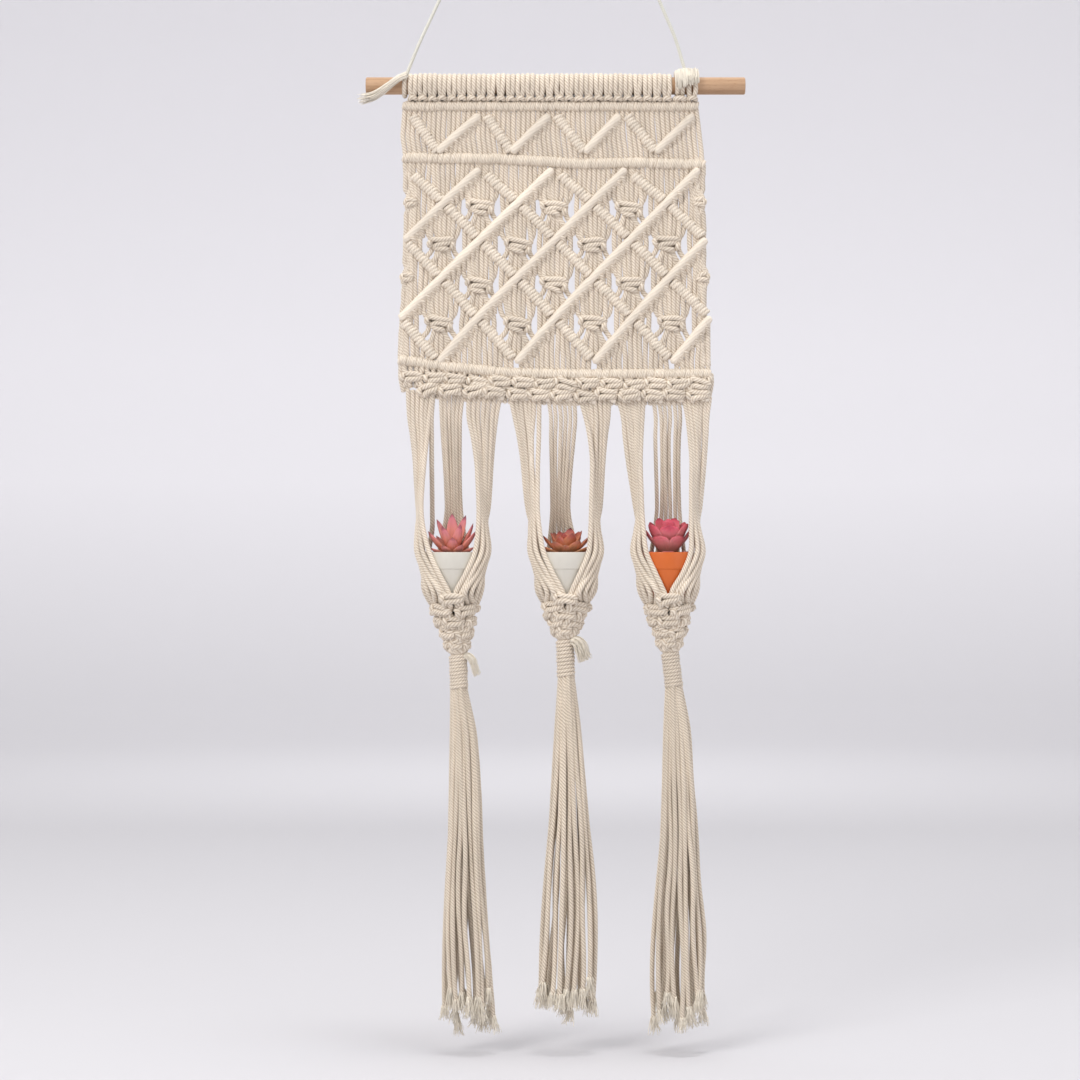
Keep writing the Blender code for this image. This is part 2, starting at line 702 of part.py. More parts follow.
def make_plant(number, centre, foot, plant, pivot):
    """A rosette: a lobed form with one lobe for each outer leaf, opening from its stem."""
    sides = plant["points"] * ROSETTE_SIDES
    height = plant["height"] + SOIL_DROP
    rings = []
    for share, reach, lobe in ROSETTE:
        ring = []
        for i in range(sides):
            angle = 2 * math.pi * i / sides
            notch = plant["depth"] * lobe * (0.5 - 0.5 * math.cos(plant["points"] * angle))
            radius = plant["reach"] * reach * (1 - notch)
            radius *= 1 - ROSETTE_LEAN * max(0.0, math.sin(angle))
            ring.append((centre + radius * math.cos(angle), radius * math.sin(angle), foot + share * height))
        rings.append(ring)
    loft(f"succulent_{number}", rings, PLANT_COLOURS[number - 1], pivot, roughness=0.5)


def make_tassel(number, planter, stations, pivot):
    """The hanging ends under the wrap, as one solid of their outer shape."""
    top = planter["wrap"][1] - HINGE_GAP
    rings = []
    for drop, half_width, middle in stations:
        ring = []
        for i in range(TASSEL_SIDES):
            angle = 2 * math.pi * i / TASSEL_SIDES
            y = half_width * TASSEL_DEPTH * math.sin(angle)
            ring.append((middle + half_width * math.cos(angle), y, top - drop))
        rings.append(ring)
    loft(f"tassel_{number}", rings, COTTON, pivot)


def main():
    clear_scene()
    make_dowel()
    make_hanging_cord()
    sleeve("left_hitch", LEFT_HITCH, LOOP_OUTSIDE, COTTON, None)
    sleeve("right_hitch", RIGHT_HITCH, LOOP_OUTSIDE, COTTON, None)
    make_left_tail()
    make_right_tuft()
    panel = make_pivot("panel_pivot", (0.0, 0.0, DOWEL_Z))
    make_panel(panel)
    for number, (planter, plant, tassel) in enumerate(zip(PLANTERS, PLANTS, TASSELS), 1):
        centre = planter["centre"]
        swing = make_pivot(f"planter_pivot_{number}", (centre, 0.0, KNOT_ROW_END - HINGE_GAP / 2), panel)
        make_planter(number, planter, swing)
        seat = make_pivot(f"pot_seat_{number}", (centre, 0.0, RIM_Z), swing)
        make_pot(number, planter, plant, seat)
        end = (planter["wrap_x"][1], 0.0, planter["wrap"][1] - HINGE_GAP / 2)
        fringe = make_pivot(f"tassel_pivot_{number}", end, swing)
        make_tassel(number, planter, tassel, fringe)


main()
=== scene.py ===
"""Looks of the hanging macrame planter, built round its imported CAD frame.

Every cord is a real twisted cord: a lobed section swept along its own route. Metres, +Z up, front -Y.
"""

import math

import bpy
import numpy as np
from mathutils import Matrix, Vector


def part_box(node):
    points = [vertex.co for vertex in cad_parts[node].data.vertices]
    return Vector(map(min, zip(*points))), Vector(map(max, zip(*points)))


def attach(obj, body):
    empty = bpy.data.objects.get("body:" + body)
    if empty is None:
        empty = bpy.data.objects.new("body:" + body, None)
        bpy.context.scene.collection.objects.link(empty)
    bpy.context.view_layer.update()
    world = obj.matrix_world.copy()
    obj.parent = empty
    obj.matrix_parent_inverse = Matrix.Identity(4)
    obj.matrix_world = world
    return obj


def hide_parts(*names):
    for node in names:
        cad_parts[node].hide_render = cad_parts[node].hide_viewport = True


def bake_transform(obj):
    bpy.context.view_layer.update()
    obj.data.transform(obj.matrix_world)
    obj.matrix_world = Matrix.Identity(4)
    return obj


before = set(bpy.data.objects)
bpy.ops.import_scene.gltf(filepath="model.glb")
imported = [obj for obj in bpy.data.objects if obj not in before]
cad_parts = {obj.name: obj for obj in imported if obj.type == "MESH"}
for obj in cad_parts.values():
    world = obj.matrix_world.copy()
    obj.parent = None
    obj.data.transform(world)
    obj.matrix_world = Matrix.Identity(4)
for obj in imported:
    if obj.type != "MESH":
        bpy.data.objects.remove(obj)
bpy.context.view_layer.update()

RNG = np.random.default_rng(11)
FRONT = np.array((0.0, -1.0, 0.0))
DOWN = np.array((0.0, 0.0, -1.0))
RIGHT = np.array((1.0, 0.0, 0.0))

# Cord: radii, but for the two diameters
CORD = 0.0050  # diameter
HANGING_CORD = 0.0036  # diameter
KNOT_CORD = 0.0027
CROSSING_CORD = 0.0029
LOOP_CORD = 0.00255
PLAIN_STRAND = 0.00265
EDGE_KNOT_CORD = 0.0024
BAR_CORD = 0.00180
DIAGONAL_CORD = 0.00205
CURL_CORD = 0.00240
FIBRE = 0.00050
LAY = 0.0125  # length of one turn of the twist
GROOVE = 0.19  # depth between the strands of a twist, as a share of its radius
SIDES_PER_LOBE = 3
RING_STEP = 0.0015
CORD_TIP = (0.97, 0.90, 0.78, 0.60)  # how a cord narrows where its end opens
TUFT_TIP = (0.95, 0.85, 0.68, 0.45)

# Studio
CAMERA_PLACE = (-0.015, -2.7, -0.778)
CAMERA_LENS = 90.0
FLOOR_Z = -1.292
FLOOR_RADIUS, SWEEP_RADIUS, WALL_HEIGHT = 4.2, 2.2, 5.0
SKY_STRENGTH = 0.98
WHITE = (1.0, 1.0, 1.0)
LIT_POINT = (0.0, 0.0, -0.7)
LIGHTS = (  # name, place, target, size, power, colour
    ("key", (-1.7, -2.3, 1.2), LIT_POINT, 1.5, 50, (1.0, 0.985, 0.96)),
    ("fill", (2.2, -2.4, 0.1), LIT_POINT, 2.2, 12, (0.99, 0.99, 1.0)),
    ("top", (0.25, -0.2, 2.3), LIT_POINT, 0.8, 34, WHITE),
    ("wash", (0.0, 2.6, 0.6), (0.0, 6.4, -0.4), 1.6, 21, WHITE),
)

# Dowel and what is tied to it
DOWEL_LOW, DOWEL_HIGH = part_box("dowel")
DOWEL_Z = (DOWEL_LOW.z + DOWEL_HIGH.z) / 2
DOWEL_RADIUS = (DOWEL_HIGH.z - DOWEL_LOW.z) / 2
DOWEL_EDGE = ((0.0, 0.0), (0.0, 0.0074), (0.0004, 0.0082), (0.0012, DOWEL_RADIUS))  # inset, radius
LOOP_REACH = DOWEL_RADIUS + 0.0014
HOOK_BEND = 0.006
LEFT_FOOT = (-0.1485, -0.3089)  # where the hanging cord meets its hitch
RIGHT_FOOT = (0.1310, -0.3025)
HITCHES = (("left_hitch", (-0.1502,)), ("right_hitch", (0.1222, 0.1272)))  # CAD node, and its turns' places
LEFT_TAIL = (  # from its root to its frayed tip
    (-0.1480, -0.0120, -0.3150), (-0.1560, -0.0138, -0.3190), (-0.1640, -0.0150, -0.3250),
    (-0.1740, -0.0150, -0.3325), (-0.1830, -0.0135, -0.3370), (-0.1960, -0.0120, -0.3390),
)
# out, up and radius of each strand
LEFT_TAIL_STRANDS = ((0.0, 0.0019, 0.0024), (0.0010, -0.0016, 0.0022), (-0.0015, 0.0002, 0.0020))
LEFT_TAIL_RADII = (0.0020, 0.0030, 0.0036, 0.0040, 0.0046, 0.0062)
LEFT_TAIL_FIBRES = 110
TUFT_LEFT, TUFT_WIDTH, TUFT_REACH = 0.1212, 0.0190, 0.0152
TUFT_STRANDS, TUFT_FIBRES = 9, 130
ROW_START, ROW_END = (corner.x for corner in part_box("larks_head_row"))
END_START, END_END = (corner.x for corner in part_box("larks_head_end"))
ROW_KNOTS = 27

# Panel: (height, left edge, right edge), and the bars as (x, height)
PANEL_EDGES = (
    (-0.340, -0.152, 0.143),
    (-0.375, -0.1545, 0.1465),
    (-0.395, -0.152, 0.149),
    (-0.470, -0.151, 0.151),
    (-0.540, -0.154, 0.151),
    (-0.590, -0.157, 0.155),
    (-0.640, -0.155, 0.158),
)
STRANDS = 60
TOP_BAR = ((-0.152, -0.3442), (0.143, -0.3442))
MIDDLE_BAR = ((-0.152, -0.396), (-0.055, -0.397), (0.025, -0.402), (0.085, -0.401), (0.149, -0.403))
BOTTOM_BAR = ((-0.156, -0.598), (-0.105, -0.605), (-0.055, -0.6105), (0.005, -0.6125), (0.156, -0.612))
LEVEL_BARS = (("top_hitch_bar", TOP_BAR), ("middle_hitch_bar", MIDDLE_BAR), ("bottom_hitch_bar", BOTTOM_BAR))
BAR_LOOP = 0.0036  # half the height of a turn
BAR_OUT = 0.0016  # how far a bar's middle lies in front of the strands
BAR_CORE = 0.0041
BAR_TAPER = (0.76, 0.88, 0.95)  # size of the turns next to a bar's ends
ZIGZAG_TOP = -0.342
ZIGZAG_X = (-0.147, -0.117, -0.073, -0.043, -0.003, 0.030, 0.067, 0.101, 0.141)
ZIGZAG_PEAK = -0.3550
ZIGZAG_VALLEY = -0.3855

# Diamond net
NET_LEFT = -0.146
NET_PITCH = 0.0365
NET_COLUMNS = 9
NET_ROWS = (-0.4095, -0.441, -0.478, -0.516, -0.556, -0.5995)  # heights of the crossings
NET_WIDENING = ((-0.41, 1.0), (-0.441, 1.015), (-0.478, 1.03), (-0.516, 1.04), (-0.556, 1.06), (-0.60, 1.065))
STRAND_PITCH = NET_PITCH / 7.5
HALF_CELL = 7  # strands from a cell's middle to its side
LONG_BARS = ((2, 0), (4, 0), (6, 0), (8, 0), (8, 2), (8, 4))  # column and row where each one starts
HITCH_PITCH = 0.0034  # along the bars that run down to the right
HITCH_HEIGHT, HITCH_DEPTH, HITCH_CORE = 0.0036, 0.0028, 0.0038
DIAGONAL_RADIUS = 0.0042
DIAGONAL_Y = -0.0022
KNOT_REACH = 0.0080  # from a knot's middle to its sides
# for each strand that a knot gathers, from its middle out: where it turns in, how near it comes, how far out
GATHERED = ((0.0145, 0.0018, 0.0020), (0.0150, 0.0050, 0.0012), (0.0, 0.0, 0.0), (0.0118, 0.0112, 0.0004))
TYING_STRAND = 2  # of those, the one that ties the knot
# a strand's curl off a laid bar: how far under it, in front of it, along it and down
CURL = (
    (0.0010, 0.0010, 0.0, 0.0), (0.0034, 0.0012, 0.0004, 0.0), (0.0052, -0.0002, 0.0, 0.0006),
    (0.0054, -0.0020, 0.0, 0.0034), (0.0052, -0.0030, 0.0, 0.0064),
)
# the loop at a knot's side: how much wider, share of the depth, share of the gap
SIDE_LOOP = ((0.0016, 0.35, 0.12), (0.0018, 0.90, 0.50), (0.0012, 0.35, 0.95))

# Alternating square knots under the net
ROW_A_LINE = ((-0.150, -0.6155), (-0.105, -0.6165), (-0.055, -0.6205), (0.005, -0.6225), (0.156, -0.6220))
ROW_A_START, ROW_A_PITCH, ROW_A_KNOTS = -0.1420, 0.02215, 14
ROW_A_EDGES = (-0.1540, -0.1495, 0.1562)
ROW_B_DROP = 0.0108
ROW_B_GROUPS = ((-0.1258, 4), (-0.0362, 5), (0.0758, 4))
KNOT_PITCH = 0.0224

# Planters
CORDS_TOP = -0.643
PINCH_Z = -0.748
RIM_Z = -0.790
CUP_TOP = -0.828
SIDE_CORDS = 7
BACK_CORDS = 6
PLANTER_CORDS = 2 * SIDE_CORDS + BACK_CORDS
CORD_ANGLE = 18.0
PLANTERS = (
    {"centre": -0.102, "left": (-0.125, -0.152), "back": (-0.1140, -0.0945), "right": (-0.0885, -0.057),
     "wrap": (-0.892, -0.928), "wrap_x": (-0.097, -0.096), "tail": 0.0135},
    {"centre": 0.011, "left": (-0.016, -0.043), "back": (-0.004, 0.021), "right": (0.028, 0.055),
     "wrap": (-0.877, -0.916), "wrap_x": (0.010, 0.011), "tail": 0.0145},
    {"centre": 0.113, "left": (0.088, 0.067), "back": (0.101, 0.126), "right": (0.131, 0.153),
     "wrap": (-0.890, -0.926), "wrap_x": (0.115, 0.119), "tail": None},
)
PINCH_SHIFT = ((-0.0013, -0.0020), (-0.0010, -0.0030), (0.0035, -0.0050))  # left and right bundle
PINCH_SPREAD = ((0.0024, 0.0046), (0.0048, 0.0048), (0.0026, 0.0046))
PINCH_OFFSET = 0.0325
PINCH_DEPTH = 0.0085
BACK_PINCH_Y = 0.0275
BACK_RUN = ((0.0022, 0.76), (-0.0030, 0.66), (0.0012, 0.92))  # shift at the pinch, and narrowing
# height, share of the pinch's shift, share of the waver
BUNDLE_STATIONS = (
    (-0.655, 0.02, 0.4), (-0.675, 0.10, 1.0), (-0.700, 0.35, 1.0), (-0.725, 0.78, 0.6),
    (PINCH_Z, 1.0, 0.2), (-0.768, 0.8, 0.2), (RIM_Z, 0.15, 0.1), (-0.810, 0.0, 0.1),
)
BUNDLE_BEND = ((0, 0, -0.637), (0, 0, -0.662))  # where a bundle goes over from the panel to its planter
FIRST_CORD_X, CORD_STEP = -0.1515, 0.00523
LONE_CORD_X = -0.1235
RIM_ANGLES = (55.0, 121.0)
RIM_REACH = 0.0285
RIM_BULGE = 0.0075
BACK_RIM_RADIUS = 0.0300
CUP_RADIUS = 0.0285
CUP_REACH = 0.0292
CUP_PROFILE = ((0.0, 0.0310), (0.15, 0.0300), (0.40, 0.0245), (0.70, 0.0170), (0.90, 0.0120), (1.0, 0.0100))
CUP_INSET = ((0.0, 0.0040), (0.25, 0.0082), (0.6, 0.0072), (1.0, 0.0050))  # from there to the knots' middles
CUP_BOTTOM_ROOM = 0.010
CUP_RINGS = 5
CUP_KNOTS = 5
WRAP_RADIUS = 0.0094
WRAP_TURN_RADIUS = 0.0075
WRAP_CORD = 0.00192
WRAP_TURNS = 10
WRAP_TAILS = ((0.72, 90, 0.0010), (1.45, 240, 0.0009))  # fullness, fibres, scatter
WRAP_TAIL_RADII = (0.0024, 0.0038, 0.0044, 0.0044, 0.0054)
WRAP_TAIL_FIBRE = 0.00045

# Pots
POT_RIM = 0.0250
POT_BASE = 0.0160
POT_HEIGHT = 0.056
POT_WALL = 0.0020
POT_LIP = 0.0165
SOIL_DROP = 0.0045

# Tassels: (distance under the wrap, half width, middle)
TASSELS = (
    ((0.000, 0.0084, -0.096), (0.052, 0.0142, -0.091), (0.180, 0.0190, -0.090), (0.290, 0.0240, -0.087),
     (0.345, 0.0260, -0.085)),
    ((0.000, 0.0084, 0.011), (0.060, 0.0142, 0.013), (0.190, 0.0225, 0.015), (0.290, 0.0270, 0.012),
     (0.345, 0.0290, 0.010)),
    ((0.000, 0.0084, 0.119), (0.052, 0.0142, 0.122), (0.180, 0.0205, 0.124), (0.290, 0.0260, 0.124),
     (0.345, 0.0280, 0.125)),
)
TASSEL_TUCK = 0.002
TASSEL_DEPTH = 0.55
TASSEL_KEYS = 17
STRAND_LENGTHS = (0.318, 0.350)
FRAY_LENGTHS = (0.015, 0.024)
FRAY_RADII = (0.0020, 0.0044, 0.0078)
FRAY_FIBRES = 42
FREE_STRANDS = 13  # the rest, at the back, are one piece

# Plants: each leaf's azimuth, elevation, length, width and thickness, in degrees and metres
SPEAR_LEAVES = (
    (150, 66, 0.040, 0.0125, 0.0052), (97, 78, 0.043, 0.0125, 0.0050), (45, 70, 0.043, 0.0130, 0.0052),
    (8, 57, 0.037, 0.0115, 0.0050), (-18, 44, 0.033, 0.0120, 0.0052), (-162, 42, 0.034, 0.0120, 0.0052),
    (-90, 50, 0.0225, 0.0120, 0.0056), (-148, 14, 0.025, 0.0105, 0.0045), (-34, 16, 0.025, 0.0105, 0.0045),
    (-118, 24, 0.022, 0.0105, 0.0048), (-62, 26, 0.022, 0.0105, 0.0048), (92, 44, 0.031, 0.0115, 0.0048),
    (135, 38, 0.030, 0.0115, 0.0048), (45, 36, 0.030, 0.0115, 0.0048), (-60, 66, 0.034, 0.0115, 0.0050),
    (-128, 64, 0.033, 0.0115, 0.0050),
)
LOTUS_LEAVES = (
    (174, 40, 0.029, 0.0150, 0.0044), (6, 38, 0.030, 0.0150, 0.0044), (-160, 18, 0.0265, 0.0150, 0.0044),
    (-20, 18, 0.027, 0.0150, 0.0044), (-92, 34, 0.017, 0.0165, 0.0048), (-128, 34, 0.023, 0.0155, 0.0044),
    (-50, 36, 0.024, 0.0155, 0.0044), (130, 50, 0.029, 0.0145, 0.0042), (48, 50, 0.030, 0.0150, 0.0042),
    (90, 46, 0.029, 0.0145, 0.0042), (-66, 60, 0.026, 0.0150, 0.0042), (-122, 58, 0.022, 0.0140, 0.0042),
    (70, 68, 0.030, 0.0140, 0.0040), (120, 66, 0.027, 0.0130, 0.0040), (-108, 74, 0.024, 0.0095, 0.0038),
    (20, 60, 0.029, 0.0135, 0.0040), (165, 60, 0.027, 0.0130, 0.0040),
)
PEONY_LEAVES = (
    (-124, 48, 0.0255, 0.0205, 0.0042), (-52, 48, 0.0255, 0.0200, 0.0042), (178, 48, 0.033, 0.0180, 0.0040),
    (2, 48, 0.033, 0.0180, 0.0040), (-86, 64, 0.034, 0.0230, 0.0038), (150, 58, 0.038, 0.0185, 0.0038),
    (32, 58, 0.038, 0.0185, 0.0038), (90, 62, 0.038, 0.0200, 0.0038), (-148, 60, 0.036, 0.0185, 0.0036),
    (-26, 60, 0.037, 0.0185, 0.0036), (60, 74, 0.039, 0.0170, 0.0034), (130, 74, 0.039, 0.0170, 0.0034),
    (-90, 80, 0.037, 0.0150, 0.0034), (-160, 8, 0.020, 0.0130, 0.0035), (-22, 8, 0.020, 0.0130, 0.0035),
    (-92, 10, 0.018, 0.0130, 0.0035), (90, 22, 0.022, 0.0130, 0.0035),
)
LEAF_WIDTHS = {  # share of the length, share of the width
    "spear": ((0.0, 0.50), (0.2, 0.78), (0.45, 1.0), (0.65, 0.92), (0.82, 0.62), (0.93, 0.32), (1.0, 0.04)),
    "lotus": ((0.0, 0.50), (0.3, 0.86), (0.55, 1.0), (0.72, 0.92), (0.86, 0.64), (0.95, 0.30), (1.0, 0.05)),
    "petal": ((0.0, 0.40), (0.3, 0.78), (0.6, 1.0), (0.78, 0.98), (0.90, 0.80), (0.97, 0.48), (1.0, 0.18)),
}
LEAF_COLOURS = {  # from foot to tip, and the colour of the outer leaves
    "coral_leaf": (((0.0, (0.34, 0.18, 0.07)), (0.25, (0.56, 0.21, 0.12)), (0.62, (0.70, 0.25, 0.21)),
                    (0.86, (0.66, 0.21, 0.25)), (1.0, (0.20, 0.04, 0.07))), (0.52, 0.20, 0.10)),
    "bronze_leaf": (((0.0, (0.56, 0.30, 0.12)), (0.40, (0.62, 0.26, 0.12)), (0.72, (0.50, 0.15, 0.08)),
                     (0.90, (0.38, 0.07, 0.06)), (1.0, (0.10, 0.02, 0.02))), (0.56, 0.27, 0.12)),
    "pink_leaf": (((0.0, (0.20, 0.09, 0.06)), (0.35, (0.42, 0.19, 0.15)), (0.70, (0.66, 0.17, 0.19)),
                   (0.90, (0.66, 0.09, 0.14)), (1.0, (0.42, 0.04, 0.07))), (0.48, 0.22, 0.18)),
}
PLANTS = (
    (SPEAR_LEAVES, "spear", "coral_leaf", "white_pot"),
    (LOTUS_LEAVES, "lotus", "bronze_leaf", "white_pot"),
    (PEONY_LEAVES, "petal", "pink_leaf", "orange_pot"),
)


# ---- lines ------------------------------------------------------------------------------------


def unit(vector):
    vector = np.asarray(vector, float)
    return vector / np.linalg.norm(vector)


def curve(keys, step=RING_STEP, closed=False):
    """Evenly spaced points on a smooth line through the keys."""
    keys = np.asarray(keys, float)
    if closed:
        padded = np.concatenate([keys[-1:], keys, keys[:2]])
    else:
        padded = np.concatenate([2 * keys[:1] - keys[1:2], keys, 2 * keys[-1:] - keys[-2:-1]])
    t = np.linspace(0, 1, 10)[:-1, None]
    pieces = []
    for a, b, c, d in zip(padded, padded[1:], padded[2:], padded[3:]):
        pieces.append(b + 0.5 * t * (c - a + t * (2 * a - 5 * b + 4 * c - d + t * (3 * b - a - 3 * c + d))))
    line = np.concatenate([*pieces, padded[-2:-1]])
    reach = np.concatenate([[0.0], np.cumsum(np.linalg.norm(np.diff(line, axis=0), axis=1))])
    count = max(4, round(reach[-1] / step) + 1)
    at = np.linspace(0, reach[-1], count, endpoint=not closed)
    return np.stack([np.interp(at, reach, line[:, k]) for k in range(3)], axis=1)


def ellipse(centre, up, out, height, depth, along=(0, 0, 0), lean=0.0, count=14):
    """Keys of a closed loop round a bar or a bundle. It leans along the bar from foot to head."""
    keys = []
    for i in range(count):
        angle = 2 * math.pi * i / count
        rise, reach = math.cos(angle), math.sin(angle)
        keys.append(centre + height * rise * up + depth * reach * out + lean * rise * np.asarray(along))
    return keys


def between(points, at):
    """The value at a place on a broken line of (place, value) points."""
    points = sorted(points)
    return float(np.interp(at, [p[0] for p in points], [p[1] for p in points]))


def smooth(keys, at):
    """The value at a place on a smooth curve through (place, value) keys in falling order."""
    slopes = []
    for i in range(len(keys)):
        low = keys[max(i - 1, 0)]
        high = keys[min(i + 1, len(keys) - 1)]
        slopes.append((high[1] - low[1]) / (high[0] - low[0]))
    for i, ((z0, v0), (z1, v1)) in enumerate(zip(keys, keys[1:])):
        if at >= z1 or i == len(keys) - 2:
            span = z1 - z0
            t = (at - z0) / span if at <= z0 else 0.0
            return (
                v0 * (2 * t**3 - 3 * t**2 + 1)
                + slopes[i] * span * (t**3 - 2 * t**2 + t)
                + v1 * (3 * t**2 - 2 * t**3)
                + slopes[i + 1] * span * (t**3 - t**2)
            )


def panel_x(share, z):
    """The x at a share of the panel's width at a height."""
    left = between([(edge[0], edge[1]) for edge in PANEL_EDGES], z)
    right = between([(edge[0], edge[2]) for edge in PANEL_EDGES], z)
    return left + (right - left) * share


# ---- meshes -----------------------------------------------------------------------------------


def carried_normals(tangents):
    """Normals that turn as little as they can along a line."""
    normals = np.empty_like(tangents)
    start = np.eye(3)[np.argmin(np.abs(tangents[0]))]
    normal = unit(np.cross(tangents[0], start))
    for i, tangent in enumerate(tangents):
        normal = normal - tangent * (normal @ tangent)
        normal = normal / math.sqrt(normal @ normal)
        normals[i] = normal
    return normals


class Cords:
    """Twisted cords gathered into one mesh. Its UV map holds (strand of the twist, metres along)."""

    def __init__(self):
        self.points = []
        self.quads = []
        self.triangles = []
        self.quad_uvs = []
        self.triangle_uvs = []
        self.tones = []
        self.count = 0

    def add(self, path, radius=CORD / 2, lay=LAY, lobes=4, groove=GROOVE, closed=False, tone=None):
        """Sweeps a lobed section along evenly spaced points, turning it as a left-handed twist."""
        path = np.asarray(path, float)
        ahead = np.roll(path, -1, 0) - np.roll(path, 1, 0) if closed else np.gradient(path, axis=0)
        tangents = ahead / np.linalg.norm(ahead, axis=1, keepdims=True)
        normals = carried_normals(tangents)
        across = np.cross(tangents, normals)
        steps = np.linalg.norm(np.diff(path, axis=0), axis=1)
        along = np.concatenate([[0.0], np.cumsum(steps)])
        start = RNG.uniform(0, 2 * math.pi)
        turn = start - 2 * math.pi * along / lay
        whole = along[-1] + np.linalg.norm(path[0] - path[-1])
        if closed:
            slip = math.atan2(normals[-1] @ across[0], normals[-1] @ normals[0])
            turns = -2 * math.pi * max(1, round(whole / lay)) - slip
            turn = start + turns * along / whole
        sides = lobes * SIDES_PER_LOBE
        angles = 2 * math.pi * np.arange(sides) / sides
        section = np.where(np.arange(sides) % SIDES_PER_LOBE == 0, 1 - groove, 1.0)
        theta = angles[None, :] + turn[:, None]
        reach = np.broadcast_to(np.asarray(radius, float), (len(path),))[:, None] * section[None, :]
        ring = normals[:, None] * (np.cos(theta) * reach)[..., None]
        ring = ring + across[:, None] * (np.sin(theta) * reach)[..., None]
        self.points.append((path[:, None] + ring).reshape(-1, 3))
        self._faces(len(path), sides, along, whole, closed, min(1.0, groove / GROOVE))
        total = len(path) * sides
        if not closed:
            self._cap(path[0] - tangents[0] * reach[0, 1] * 0.5, 0, sides, False, total)
            end = path[-1] + tangents[-1] * reach[-1, 1] * 0.5
            self._cap(end, (len(path) - 1) * sides, sides, True, total + 1)
            total += 2
        tone = RNG.uniform(0, 1) if tone is None else tone
        self.tones.append(np.full(total, tone, np.float32))
        self.count += total

    def _faces(self, rings, sides, along, whole, closed, depth):
        i = np.arange(rings if closed else rings - 1)[:, None]
        j = np.arange(sides)[None, :]
        after = (i + 1) % rings
        beside = (j + 1) % sides
        corners = (i * sides + j, i * sides + beside, after * sides + beside, after * sides + j)
        self.quads.append(np.stack(np.broadcast_arrays(*corners), axis=-1).reshape(-1, 4) + self.count)
        reach = np.append(along, whole)
        # u runs across each strand from groove to groove; the cotton shaders paint shade in the grooves from
        # it, and depth scales how much of that painted shade a shallow-grooved cord gets.
        lobe, part = j // SIDES_PER_LOBE, (j % SIDES_PER_LOBE) / SIDES_PER_LOBE
        u0 = lobe + 0.5 + (part - 0.5) * depth
        u1 = lobe + 0.5 + (part + 1 / SIDES_PER_LOBE - 0.5) * depth
        v0, v1 = reach[i], reach[i + 1]
        places = ((u0, v0), (u1, v0), (u1, v1), (u0, v1))
        uvs = [np.stack(np.broadcast_arrays(u, v), axis=-1) for u, v in places]
        self.quad_uvs.append(np.stack(uvs, axis=2).reshape(-1, 2))

    def _cap(self, tip, first, sides, forward, number):
        self.points.append(np.asarray(tip)[None])
        j = np.arange(sides)
        ends = (first + j, first + (j + 1) % sides) if forward else (first + (j + 1) % sides, first + j)
        faces = np.stack([ends[0], ends[1], np.full(sides, number)], axis=1) + self.count
        self.triangles.append(faces)
        self.triangle_uvs.append(np.full((sides * 3, 2), 0.5))

    def build(self, name):
        """One smooth object of every cord added."""
        mesh = bpy.data.meshes.new(name)
        points = np.concatenate(self.points).astype(np.float32)
        quads = np.concatenate(self.quads).astype(np.int32)
        triangles = np.concatenate(self.triangles or [np.empty((0, 3))]).astype(np.int32)
        loops = np.concatenate([quads.ravel(), triangles.ravel()])
        sizes = np.concatenate([np.full(len(quads), 4), np.full(len(triangles), 3)])
        mesh.vertices.add(len(points))
        mesh.vertices.foreach_set("co", points.ravel())
        mesh.loops.add(len(loops))
        mesh.loops.foreach_set("vertex_index", loops)
        mesh.polygons.add(len(sizes))
        mesh.polygons.foreach_set("loop_start", (np.cumsum(sizes) - sizes).astype(np.int32))
        uvs = np.concatenate([*self.quad_uvs, *self.triangle_uvs]).astype(np.float32)
        mesh.uv_layers.new(name="cord").data.foreach_set("uv", uvs.ravel())
        tone = mesh.attributes.new("tone", "FLOAT", "POINT")
        tone.data.foreach_set("value", np.concatenate(self.tones))
        mesh.update(calc_edges=True)
        mesh.shade_smooth()
        return link(bpy.data.objects.new(name, mesh))


def link(obj):
    bpy.context.scene.collection.objects.link(obj)
    return obj


def settle(obj, body, material, slot, *nodes):
    """Gives a finished piece its material and, when its body is one name, that body, else bakes its place;
    hides the CAD nodes that it stands for.
    """
    obj.data.materials.append(material)
    if isinstance(body, str):
        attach(obj, body)
    else:
        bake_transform(obj)
    if nodes:
        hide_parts(*nodes)
    return obj


def tie(cords, name, body, *nodes):
    """One piece of the twisted cotton."""
    return settle(cords.build(name), body, COTTON, "cotton_cord", *nodes)


def fibres(cords, path, radii, count, spread=0.0, radius=FIBRE, wander=0.0006):
    """Loose parallel fibres along a path, inside a radius that changes along it."""
    path = np.asarray(path, float)
    radii = np.interp(np.linspace(0, 1, len(path)), np.linspace(0, 1, len(radii)), radii)
    tangents = np.gradient(path, axis=0)
    tangents = tangents / np.linalg.norm(tangents, axis=1, keepdims=True)
    normals = carried_normals(tangents)
    across = np.cross(tangents, normals)
    for _ in range(count):
        share = math.sqrt(RNG.uniform(0.05, 1))
        angle = RNG.uniform(0, 2 * math.pi)
        drift = np.linspace(0, 1, len(path)) ** 2 * spread * RNG.uniform(-1, 1, (1, 1))
        bend = np.sin(np.linspace(0, RNG.uniform(2, 6), len(path)) + RNG.uniform(0, 6)) * wander
        offset = (radii * share * math.cos(angle) + bend + drift[0])[:, None] * normals
        offset = offset + (radii * share * math.sin(angle) + bend)[:, None] * across
        last = RNG.integers(max(3, int(len(path) * 0.80)), len(path) + 1)
        line = (path + offset)[:last]
        taper = np.linspace(1, 0.45, len(line))
        cords.add(line, radius * RNG.uniform(0.7, 1.3) * taper, lay=1.0, lobes=1, groove=0.0)


# ---- shaders ----------------------------------------------------------------------------------


